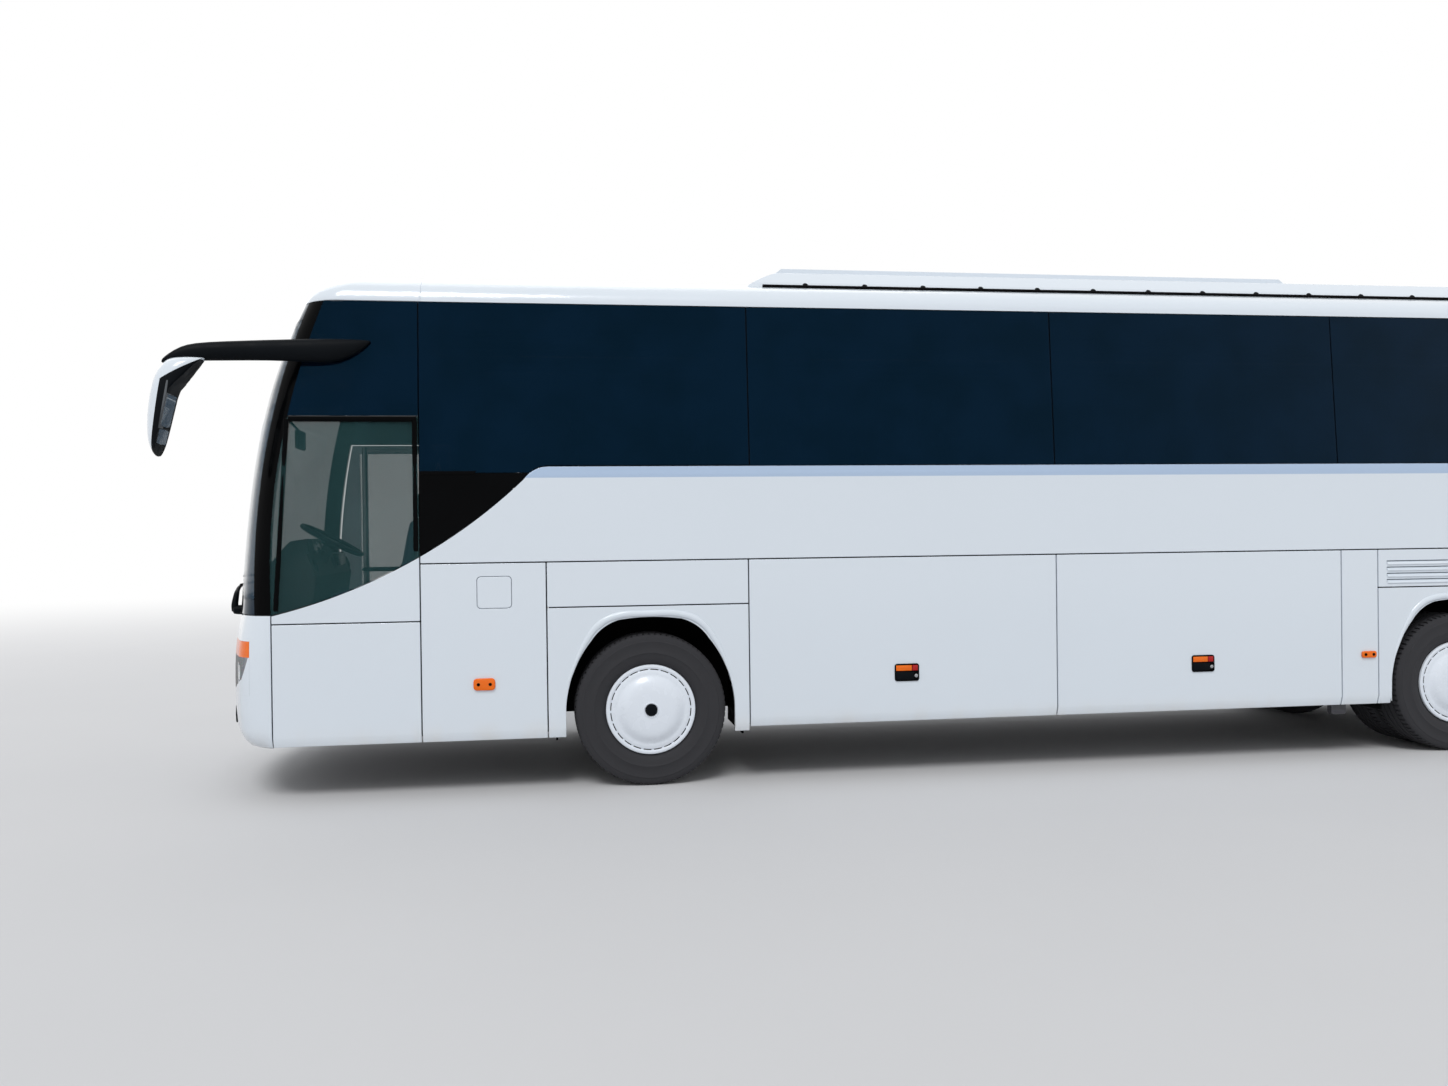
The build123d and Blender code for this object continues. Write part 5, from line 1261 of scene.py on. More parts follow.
@dataclass
class Mirrors:
    """Long curved arms over the screen's corners, each with a hanging head."""

    front_axle: float = AXLES["front"].x
    head_y: float = -1.400
    arm_rows: tuple = (
        (-3.050, 2.818, 0.016, 0.012), (-3.010, 2.842, 0.026, 0.027), (-2.940, 2.870, 0.036, 0.048),
        (-2.860, 2.886, 0.044, 0.057), (-2.700, 2.896, 0.050, 0.062), (-2.412, 2.912, 0.052, 0.066),
        (-2.200, 2.916, 0.052, 0.075), (-2.060, 2.918, 0.050, 0.080), (-1.950, 2.934, 0.040, 0.064),
        (-1.860, 2.963, 0.024, 0.034), (-1.806, 2.988, 0.008, 0.006),
    )
    head_rows: tuple = (
        (2.224, -3.082, -3.042, 0.050), (2.246, -3.100, -3.018, 0.080), (2.290, -3.120, -2.992, 0.104),
        (2.350, -3.132, -2.968, 0.116), (2.484, -3.132, -2.936, 0.122), (2.600, -3.116, -2.908, 0.124),
        (2.690, -3.098, -2.868, 0.122), (2.745, -3.076, -2.836, 0.116), (2.790, -3.050, -2.802, 0.106),
        (2.825, -3.020, -2.780, 0.086), (2.846, -2.985, -2.764, 0.050),
    )
    rear_line: tuple = ((2.224, -3.078), (2.297, -3.060), (2.632, -2.981), (2.652, -2.963), (2.795, -2.838),
                        (2.870, -2.765))
    strip_lines: tuple = (((-3.052, 2.312), (-2.984, 2.687)), ((-3.022, 2.312), (-2.974, 2.687)))
    splits: tuple = (((-3.098, 2.228), (-3.026, 2.700)), ((-3.026, 2.700), (-2.790, 2.838)))

    def arm_y(self, x: float) -> float:
        """Return the arm's distance from the middle plane at a distance from the front axle."""
        share = (x + 3.055) / (3.055 - 1.809)
        return 1.400 - 0.185 * share

    def arm(self) -> Piece:
        """Return the left arm, tapering to a point over the side glass."""
        rings = [(self.front_axle + x, -self.arm_y(x), z, 1.0, half_y, half_z)
                 for x, z, half_y, half_z in self.arm_rows]
        return modify(lofted("mirror_arm", rings, (1, 0, 0), 24), "SUBSURF", levels=1, render_levels=1)

    def ahead(self, point: Vector) -> bool:
        """Say whether a point lies on the white side of the head's split line."""
        (x0, z0), (x1, z1), (x2, z2) = *self.splits[0], self.splits[1][1]
        if point.z < z1:
            edge = x0 + (x1 - x0) * (point.z - z0) / (z1 - z0)
        else:
            edge = x1 + (x2 - x1) * (point.z - z1) / (z2 - z1)
        return point.x - self.front_axle < edge

    def rear_x(self, z: float) -> float:
        """Return where the head's flat rear face lies at a height."""
        line = self.rear_line
        (z0, x0), (z1, x1) = next((pair for pair in zip(line, line[1:]) if z < pair[1][0]), line[-2:])
        return self.front_axle + x0 + (x1 - x0) * (z - z0) / (z1 - z0)

    def on_strip(self, point: Vector) -> bool:
        """Say whether a point lies on the grey wedge along the head's outer side."""
        low, high = (self.front_axle + x0 + (x1 - x0) * (point.z - z0) / (z1 - z0)
                     for (x0, z0), (x1, z1) in self.strip_lines)
        (_, bottom), (_, top) = self.strip_lines[0]
        return low < point.x < high and bottom < point.z < top and point.y < self.head_y - 0.02

    def head(self) -> list[Piece]:
        """Return the left head: the white front shell, the black frame and the two glasses."""
        rings = [(self.front_axle + (front + rear) / 2, self.head_y, z, (rear - front) / 2, half_y, 1.0)
                 for z, front, rear, half_y in self.head_rows]
        body = lofted("mirror_head", rings, (0, 0, 1), 28)
        modify(body, "SUBSURF", levels=1, render_levels=1)
        for vertex in body.data.vertices:
            vertex.co.x = min(vertex.co.x, self.rear_x(vertex.co.z))
        ends = [((-3.2, z), (-2.8, z)) for _, z in self.strip_lines[0]]
        for (x0, z0), (x1, z1) in (*self.splits, *self.strip_lines, *ends):
            with editing(body):
                bpy.ops.mesh.bisect(plane_co=(self.front_axle + x0, 0, z0), plane_no=(z1 - z0, 0, x0 - x1))
        second_finish(body, Stock.SATIN_BLACK, Stock.PAINT, lambda c, n: self.ahead(c))
        second_finish(body, Stock.SATIN_BLACK, Stock.SMOKE, lambda c, n: self.on_strip(c))
        glasses = []
        for low, high in ((2.300, 2.392), (2.408, 2.624)):
            outline = [(self.rear_x(z) - 0.0065, self.head_y + u, z)
                       for u, z in ((u, low + (high - low) * (v + 0.5))
                                    for u, v in rounded(0.176, 1.0, 0.08))]
            pane = plate("mirror_pane", outline, (0.008, 0, 0))
            pane.data.materials.append(Stock.MIRROR.value.material())
            glasses.append(pane)
        return [body, joined("mirror_glass", glasses)]

    def build(self) -> int:
        """Make both mirrors in place of their plain solids.

        Returns:
            How many pieces were made.
        """
        arm = self.arm()
        head, glass = self.head()
        count = 0
        for side_name, side in SIDES.items():
            for model, stock, slot, angle in ((arm, Stock.SATIN_BLACK, "black_plastic", 60.0),
                                              (head, Stock.SATIN_BLACK, "black_plastic", 60.0),
                                              (glass, Stock.MIRROR, "clear_glass", 30.0)):
                twin = copied(model, f"{model.name}_{side_name}", flip=(1, -side, 1))
                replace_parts(fit(twin, "coach_body", stock, angle), "mirrors")
                count += 1
        take(arm, head, glass)
        bpy.ops.object.delete()
        return count


@dataclass
class Nose:
    """The face of the coach: lamp clusters, fog lamps, plate, slot bars and wipers."""

    amber_low: float = 0.936
    lens_edge: tuple = ((-5.683, 0.936), (-5.708, 0.863), (-5.737, 0.793), (-5.876, 0.678))
    bowls: tuple = ((0.850, 0.805, 0.064, 0.060), (0.985, 0.815, 0.046, 0.045))

    def behind_edge(self, point: Vector) -> bool:
        """Say whether a point lies behind the slanted rear edge of the lower lens."""
        for (x0, z0), (x1, z1) in zip(self.lens_edge, self.lens_edge[1:]):
            if point.z > z1:
                return point.x > x1 + (x0 - x1) * (point.z - z1) / (z0 - z1)
        return True

    def lenses(self) -> Piece:
        """Return the lamp lenses: amber above, clear below, painted behind their edge."""
        lenses = merged("front_lamps", "front_lamp_lenses")
        with editing(lenses):
            bpy.ops.mesh.bisect(plane_co=(0, 0, self.amber_low), plane_no=(0, 0, 1))
        for (x0, z0), (x1, z1) in zip(self.lens_edge, self.lens_edge[1:]):
            with editing(lenses):
                bpy.ops.mesh.bisect(plane_co=(x0, 0, z0), plane_no=(z1 - z0, 0, x0 - x1))
        second_finish(lenses, Stock.CLEAR, Stock.AMBER, lambda c, n: c.z > self.amber_low)
        second_finish(lenses, Stock.CLEAR, Stock.PAINT,
                      lambda c, n: c.z < self.amber_low and self.behind_edge(c))
        second_finish(lenses, Stock.CLEAR, Stock.SEAL,
                      lambda c, n: n.x > 0.9 or abs(n.z) > 0.9 or n.y * (1 if c.y > 0 else -1) < -0.9)
        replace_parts(fit(lenses, "coach_body", Stock.CLEAR, 30.0), "front_lamps")
        return lenses

    def reflectors(self) -> Piece:
        """Return the bright bowls and their bulbs behind the clear lenses."""
        parts = []
        for side in SIDES.values():
            for y, z, radius, depth in self.bowls:
                facing = NOSE.facing(side * y)
                centre = Vector((NOSE.x(y, z, -0.016), side * y, z))
                profile = [(-depth - 0.003, 0.0), (-depth * 0.8, radius * 0.45), (0.0, radius + 0.005),
                           (0.003, radius + 0.003), (0.003, radius), (-depth * 0.35, radius * 0.85),
                           (-depth * 0.75, radius * 0.5), (-depth, 0.0)]
                parts.append(dressed(Stock.CHROME, turned("bowl", profile, centre, facing, 32)))
                parts.append(dressed(Stock.CLEAR, turned("bulb", [
                    (-depth, 0.0), (-depth, 0.012), (-depth * 0.5, 0.012), (-depth * 0.35, 0.007),
                    (-depth * 0.3, 0.0)], centre, facing, 16)))
        return fit(joined("front_lamp_bowls", parts), "coach_body", Stock.CHROME)

    def fog_lamps(self) -> Piece:
        """Return the round fog lamps low in the mask."""
        parts = []
        for side in SIDES.values():
            y, z = side * 0.700, 0.505
            centre, facing = (NOSE.x(y, z), y, z), NOSE.facing(y)
            parts.append(dressed(Stock.GLOSS_BLACK, turned("bezel", [
                (-0.004, 0.0), (-0.004, 0.060), (0.004, 0.060), (0.008, 0.056), (0.008, 0.050),
                (0.001, 0.047),
                (0.001, 0.0)], centre, facing, 40)))
            parts.append(dressed(Stock.CLEAR, turned("lens", [
                (0.002, 0.0), (0.002, 0.046), (0.006, 0.045), (0.010, 0.030), (0.012, 0.0)], centre, facing,
                40)))
        return fit(joined("front_fog_lamps", parts), "coach_body", Stock.CLEAR)

    def plate(self) -> Piece:
        """Return the blank registration plate in its holder."""
        holder = dressed(Stock.SEAL, NOSE.strip("holder", -0.27, 0.27, 0.592, 0.716, 0.006, 0.012))
        blank = dressed(Stock.PLATE, NOSE.strip("blank", -0.26, 0.26, 0.600, 0.708, 0.009, 0.004))
        return fit(joined("front_blank_plate", [holder, blank]), "coach_body", Stock.PLATE)

    def slot_bars(self) -> Piece:
        """Return the thin bars inside the three slots of the mask."""
        bars = []
        for z in (0.410, 0.480, 0.550):
            for rise in (-0.010, 0.008):
                for side in SIDES.values():
                    low, high = sorted((side * 0.060, side * 0.512))
                    bars.append(NOSE.strip("bar", low, high, z + rise, z + rise + 0.003, -0.022, 0.010))
        return fit(joined("mask_slot_bars", bars), "coach_body", Stock.SATIN_BLACK)

    def screen_edge(self) -> Piece:
        """Return the black seal between the mask and the screen."""
        seal = NOSE.strip("screen_foot_seal", -0.98, 0.98, 1.199, 1.211, 0.002, 0.020, 24)
        return fit(seal, "coach_body", Stock.SEAL)

    def wipers(self) -> Piece:
        """Return both wipers, parked across the foot of the screen."""
        parts = []
        for side, rise in ((-1, 0.0), (1, 0.055)):
            def place(y: float, z: float, out: float, side: int = side) -> tuple[float, float, float]:
                """Return a point ahead of the screen on this wiper's side."""
                return (NOSE.x(y, z, out), side * y, z)

            parts.append(dressed(Stock.SATIN_BLACK, turned("pivot", [
                (-0.020, 0.0), (-0.020, 0.034), (0.020, 0.032), (0.046, 0.028), (0.054, 0.018), (0.056, 0.0)],
                place(0.62, 1.215, 0.0), NOSE.facing(side * 0.62), 24)))
            points = [place(0.62, 1.205, 0.040), place(0.619, 1.245, 0.046),
                      place(0.600, 1.300 + rise * 0.8, 0.044),
                      place(0.520, 1.345 + rise, 0.042), place(0.340, 1.372 + rise, 0.040),
                      place(0.080, 1.384 + rise, 0.036)]
            parts.append(dressed(Stock.SATIN_BLACK,
                                 bar("arm", points, 0.024, radii=(1.0, 1.0, 0.85, 0.6, 0.4, 0.3))))
            low, high = sorted((side * 0.500, side * -0.340))
            z = 1.384 + rise
            parts.append(dressed(Stock.SATIN_BLACK,
                                 NOSE.strip("spine", low, high, z - 0.006, z + 0.006, 0.034, 0.010, 16)))
            parts.append(dressed(Stock.SEAL,
                                 NOSE.strip("rubber", low, high, z - 0.003, z + 0.003, 0.026, 0.025, 16)))
        return fit(joined("screen_wipers", parts), "coach_body", Stock.SATIN_BLACK)

    def build(self) -> int:
        """Make the pieces of the face.

        Returns:
            How many pieces were made.
        """
        makers = (self.lenses, self.reflectors, self.fog_lamps, self.plate, self.slot_bars, self.screen_edge,
                  self.wipers)
        return len([maker() for maker in makers])


@dataclass
class Tail:
    """Fittings of the back: reflectors, plate, lid louvres and handle, window border, brake lamp, exhaust."""

    def reflectors(self) -> Piece:
        """Return the round red reflectors under the tail lamps."""
        parts = []
        for side in SIDES.values():
            y, z = side * 1.060, 0.610
            parts.append(turned("reflector",
                                [(-0.004, 0.0), (-0.004, 0.040), (0.003, 0.040), (0.006, 0.034),
                                 (0.007, 0.0)],
                                (TAIL.x(y, z), y, z), TAIL.facing(y), 32))
        return fit(joined("tail_reflectors", parts), "coach_body", Stock.RED)

    def plate(self) -> Piece:
        """Return the blank plate, its holder and its lamp on the lid."""
        parts = [
            dressed(Stock.SEAL, TAIL.strip("holder", -0.270, 0.270, 0.852, 0.976, 0.0035, 0.006)),
            dressed(Stock.PLATE, TAIL.strip("blank", -0.260, 0.260, 0.860, 0.968, 0.0060, 0.003)),
            dressed(Stock.CLEAR, TAIL.strip("lamp", -0.060, 0.060, 0.982, 1.002, 0.0070, 0.010, 2)),
        ]
        return fit(joined("rear_blank_plate", parts), "engine_lid", Stock.PLATE)

    def louvres(self) -> Piece:
        """Return the lid's dark field, a sheet of painted shade for the gaps, and the painted blades across
        it.
        """
        # Painted shade: the black field stands in for the shade inside the openings between the blades.
        parts = [dressed(Stock.SEAL, TAIL.strip("field", -0.640, 0.640, 1.100, 1.560, 0.0010, 0.003, 12))]
        for i in range(11):
            z = 1.112 + 0.040 * i
            parts.append(dressed(Stock.PAINT,
                                 TAIL.strip("blade", -0.632, 0.632, z, z + 0.024, 0.0070, 0.007, 12)))
        return fit(joined("engine_lid_louvres", parts), "engine_lid", Stock.PAINT)

    def handle(self) -> Piece:
        """Return the lid's grip."""
        grip = TAIL.strip("engine_lid_handle", -0.110, 0.110, 0.752, 0.786, 0.0072, 0.010, 4)
        return fit(grip, "engine_lid", Stock.GLOSS_BLACK)

    def window_border(self) -> Piece:
        """Return the black border of the rear window."""
        parts = []
        for low_y, high_y, low_z, high_z in ((-1.016, 1.016, 2.282, 2.304), (-1.016, 1.016, 3.116, 3.138),
                                             (-1.020, -0.996, 2.290, 3.130), (0.996, 1.020, 2.290, 3.130)):
            parts.append(TAIL.strip("border", low_y, high_y, low_z, high_z, 0.004, 0.008, 12))
        return fit(joined("rear_window_border", parts), "coach_body", Stock.SEAL)

    def brake_lamp(self) -> Piece:
        """Return the high brake lamp."""
        lamp = TAIL.strip("high_brake_lamp", -0.280, 0.280, 3.168, 3.192, 0.010, 0.014)
        return fit(lamp, "coach_body", Stock.RED)

    def exhaust(self) -> Piece:
        """Return the silencer beside the engine and its tail pipe."""
        can = block("can", (4.160, -1.060, 0.500), (5.060, -0.640, 0.790), 0.110, 5)
        pipe = bar("pipe", [(5.020, -0.800, 0.560), (5.400, -0.790, 0.540), (5.800, -0.760, 0.400),
                            (6.130, -0.760, 0.372)], 0.034)
        return fit(joined("exhaust_silencer", [can, pipe]), "coach_body", Stock.STEEL)

    def build(self) -> int:
        """Make the pieces of the back.

        Returns:
            How many pieces were made.
        """
        makers = (self.reflectors, self.plate, self.louvres, self.handle, self.window_border, self.brake_lamp,
                  self.exhaust)
        return len([maker() for maker in makers])


@dataclass
class Cabin:
    """Padded seats in place of the plain ones, and the cabin's fittings."""

    deck: float = 1.480
    platform: float = 1.000
    seat_height: float = 0.440
    seat_half: float = 0.2125
    rake: float = math.radians(7.5)
    first_x: float = -4.167
    pitch: float = 0.800
    places: tuple[float, float] = (0.4525, 0.8975)
    runs: tuple = (("left", -1, 0, 12), ("right_front", 1, 0, 6), ("right_rear", 1, 8, 4))
    driver: tuple[float, float] = (-5.234, -0.650)

    def pad(self, low: Point, high: Point, radius: float, stock: Stock, crown: float = 0.10) -> Piece:
        """Return one stuffed pad: full at its middle, tighter at its seams."""
        low, high = Vector(low), Vector(high)
        take()
        bpy.ops.mesh.primitive_cube_add(size=1.0, location=(low + high) / 2, scale=high - low)
        piece = named("pad")
        bpy.ops.object.transform_apply(location=False, rotation=False, scale=True)
        modify(piece, "BEVEL", width=radius, segments=1, limit_method="NONE")
        modify(piece, "SUBSURF", levels=1, render_levels=1)
        modify(piece, "CAST", cast_type="SPHERE", factor=crown, use_radius_as_size=True)
        return dressed(stock, settle(piece))

    def padding(self) -> Piece:
        """Return a seat's cushion and back, front edge at x = 0 and facing -X."""
        half, top = self.seat_half, self.seat_height
        pads = [self.pad((low, -0.160, top - 0.115), (low + 0.152, 0.160, top), 0.030, Stock.CLOTH)
                for low in (0.004, 0.152, 0.300)]
        pads += [self.pad((0.010, low, top - 0.120), (0.452, low + 0.062, top + 0.014), 0.022, Stock.CLOTH,
                          0.04)
                 for low in (-half, half - 0.062)]
        back = [self.pad((-0.004, -0.152, z), (0.064, 0.152, z + 0.162), 0.026, Stock.CLOTH)
                for z in (0.020, 0.178, 0.336, 0.494)]
        back += [self.pad((-0.018, low, 0.010), (0.070, low + 0.066, 0.640), 0.026, Stock.CLOTH, 0.04)
                 for low in (-half, half - 0.066)]
        back.append(self.pad((-0.008, -0.140, 0.664), (0.066, 0.140, 0.836), 0.030, Stock.LEATHER, 0.14))
        rest = joined("back_padding", back)
        rest.rotation_euler = (0.0, self.rake, 0.0)
        rest.location = (0.462, 0.0, top - 0.140)
        return joined("seat_padding", [*pads, settle(rest)])

    def shell(self) -> Piece:
        """Return a seat's hard parts above its base: back shell, armrest and grab handle."""
        half, top = self.seat_half, self.seat_height
        shell = block("shell", (0.052, -half + 0.006, 0.0), (0.104, half - 0.006, 0.800), 0.026, 3)
        net = block("net", (0.104, -0.165, 0.060), (0.112, 0.165, 0.240), 0.003)
        table = block("table", (0.104, -0.185, 0.300), (0.114, 0.185, 0.560), 0.004)
        handle = bar("grab", [(0.060, 0.120, 0.800), (0.080, 0.190, 0.812), (0.060, 0.205, 0.700)], 0.011)
        rest = joined("shell", [dressed(Stock.DASH, shell), dressed(Stock.SEAL, net),
                                dressed(Stock.TRIM, table),
                                dressed(Stock.SATIN_BLACK, handle)])
        rest.rotation_euler = (0.0, self.rake, 0.0)
        rest.location = (0.462, 0.0, top - 0.140)
        settle(rest)
        pan = dressed(Stock.DASH, block("pan", (0.012, -half + 0.010, top - 0.150),
                                        (0.460, half - 0.010, top - 0.100), 0.012))
        arm = dressed(Stock.SATIN_BLACK, block("armrest", (0.150, half - 0.030, top + 0.130),
                                               (0.500, half + 0.008, top + 0.162), 0.014, 3))
        return joined("seat_shell", [rest, pan, arm])

    def base(self, height: float) -> Piece:
        """Return a seat's pedestal."""
        foot = block("foot", (0.060, -0.180, 0.0), (0.400, 0.180, 0.020), 0.006)
        leg = block("leg", (0.130, -0.060, 0.016), (0.330, 0.060, height), 0.020, 3)
        return dressed(Stock.FRAME, joined("seat_base", [foot, leg]))

    def seats(self) -> int:
        """Set out every seat, the padding apart from the hard parts.

        Returns:
            How many seats were set.
        """
        padding, shell = self.padding(), self.shell()
        base = self.base(self.seat_height - 0.140)
        hard = joined("seat_hard", [shell, base])
        count = 1
        for model, slot in ((padding, "seat_fabric"), (hard, "black_plastic")):
            pair = joined("pair", [copied(model, "one", (0, y, 0)) for y in self.places])
            for run, side, first, rows in self.runs:
                row = copied(pair, f"{model.name}_{run}", (self.first_x + first * self.pitch, 0, self.deck),
                             (1, side, 1))
                modify(row, "ARRAY", count=rows, use_relative_offset=False, use_constant_offset=True,
                       constant_offset_displace=(self.pitch, 0, 0))
                fit(row, "coach_body", Stock.CLOTH, 60.0)
                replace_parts(row, "seats")
                if model is padding:
                    count += 2 * rows
            take(pair)
            bpy.ops.object.delete()
        drop = 0.110
        place = (*self.driver, self.platform - drop)
        seat = copied(padding, "driver_seat_padding", place, (1, 1.15, 1))
        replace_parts(fit(seat, "coach_body", Stock.CLOTH, 60.0), "seats")
        x, y = self.driver
        suspension = [dressed(Stock.SEAL, turned("bellows", [
            (0.0, 0.0), (0.0, 0.120), (0.030, 0.150), (0.060, 0.120), (0.090, 0.150), (0.120, 0.120),
            (0.150, 0.150),
            (0.180, 0.110), (0.180, 0.0)], (x + 0.230, y, self.platform + 0.002), (0, 0, 1), 28))]
        belt = bar("belt", [(x + 0.590, y - 0.215, 1.800), (x + 0.430, y - 0.200, 1.420),
                            (x + 0.300, y - 0.215, 1.300)], 0.009)
        hard_seat = joined("driver_seat_hard", [copied(hard, "one", place, (1, 1.15, 1)), *suspension,
                                                dressed(Stock.SEAL, belt)])
        with editing(hard_seat):
            bpy.ops.mesh.bisect(plane_co=(0, 0, self.platform + 0.002), plane_no=(0, 0, 1), clear_inner=True,
                                use_fill=True)
        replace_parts(fit(hard_seat, "coach_body", Stock.SATIN_BLACK, 60.0), "seats")
        take(padding, hard)
        bpy.ops.object.delete()
        return count

    def racks(self) -> Piece:
        """Return the luggage racks under the roof, with their rails and lamp strips."""
        parts = []
        for side in SIDES.values():
            inner, outer = sorted((side * 0.740, side * 1.140))
            parts.append(dressed(Stock.TRIM,
                                 block("shelf", (-4.450, inner, 3.020), (5.600, outer, 3.052), 0.012, 3)))
            parts.append(dressed(Stock.TRIM, block("lip", (-4.450, min(side * 0.720, side * 0.760), 3.000),
                                                   (5.600, max(side * 0.720, side * 0.760), 3.075), 0.016,
                                                   3)))
            parts.append(dressed(Stock.STEEL,
                                 bar("rail", [(-4.440, side * 0.735, 3.130), (0.6, side * 0.735, 3.130),
                                                           (5.590, side * 0.735, 3.130)], 0.010,
                                                           curved=False)))
            for i in range(12):
                x = self.first_x + i * self.pitch + 0.40
                if x < 5.5:
                    parts.append(dressed(Stock.SATIN_BLACK, block(
                        "unit", (x, min(side * 0.80, side * 1.00), 2.990),
                        (x + 0.22, max(side * 0.80, side * 1.00), 3.022), 0.006)))
        return fit(joined("luggage_racks", parts), "coach_body", Stock.TRIM)

    def partitions(self) -> Piece:
        """Return the low panels ahead of the first seats, with their rails."""
        parts = []
        for side in SIDES.values():
            inner, outer = sorted((side * 0.260, side * 1.130))
            parts.append(dressed(Stock.TRIM,
                                 block("panel", (-4.520, inner, 1.484), (-4.496, outer, 2.060), 0.010)))
            parts.append(dressed(Stock.STEEL, bar("rail", [
                (-4.508, side * 0.270, 1.484), (-4.508, side * 0.270, 2.200), (-4.508, side * 0.300, 2.240),
                (-4.508, side * 1.060, 2.240), (-4.508, side * 1.100, 2.200), (-4.508, side * 1.100, 2.050)],
                0.015,
                curved=False)))
        return fit(joined("front_partitions", parts), "coach_body", Stock.TRIM)

    def cab(self) -> Piece:
        """Return the cab's small things: dials, vents, screen, inside mirror and stalks."""
        parts = []
        for y, z, radius in ((-0.740, 1.640, 0.052), (-0.560, 1.640, 0.052), (-0.650, 1.652, 0.030)):
            centre, facing = (-5.352, y, z), (0.96, 0.0, 0.28)
            parts.append(dressed(Stock.CHROME, turned("dial_ring", [
                (-0.010, 0.0), (-0.010, radius), (0.006, radius), (0.007, radius - 0.004),
                (0.001, radius - 0.006),
                (0.001, 0.0)], centre, facing, 32)))
            parts.append(dressed(Stock.GLOSS_BLACK, turned("dial_face", [
                (0.0015, 0.0), (0.0015, radius - 0.007), (0.0030, radius - 0.008), (0.0035, 0.0)], centre,
                facing, 32)))
        for y in (-1.000, -0.330, 0.250):
            parts.append(dressed(Stock.SATIN_BLACK, turned("vent", [
                (-0.006, 0.0), (-0.006, 0.046), (0.006, 0.046), (0.010, 0.038), (0.004, 0.030), (0.004, 0.0)],
                (-5.302, y, 1.520), (0.95, 0, 0.31), 24)))
        parts.append(dressed(Stock.GLOSS_BLACK,
                             block("screen", (-5.320, -0.250, 1.470), (-5.290, 0.120, 1.590), 0.008)))
        parts.append(dressed(Stock.SATIN_BLACK, bar("mirror_stalk", [
            (NOSE.x(0.80, 2.55, -0.05), -0.80, 2.550), (-5.480, -0.880, 2.500), (-5.400, -0.920, 2.420)],
            0.009)))
        parts.append(dressed(Stock.SATIN_BLACK,
                             block("inside_mirror", (-5.412, -1.040, 2.300), (-5.380, -0.820, 2.430), 0.014,
                                   3)))
        for side in SIDES.values():
            parts.append(dressed(Stock.SATIN_BLACK, bar("stalk", [
                (-5.300, -0.650 + side * 0.030, 1.610), (-5.310, -0.650 + side * 0.130, 1.618),
                (-5.306, -0.650 + side * 0.190, 1.632)], 0.008, radii=(0.8, 0.9, 1.2))))
        return fit(joined("cab_fittings", parts), "coach_body", Stock.SATIN_BLACK)

    def build(self) -> int:
        """Furnish the cabin.

        Returns:
            How many seats were set.
        """
        self.racks()
        self.partitions()
        self.cab()
        return self.seats()


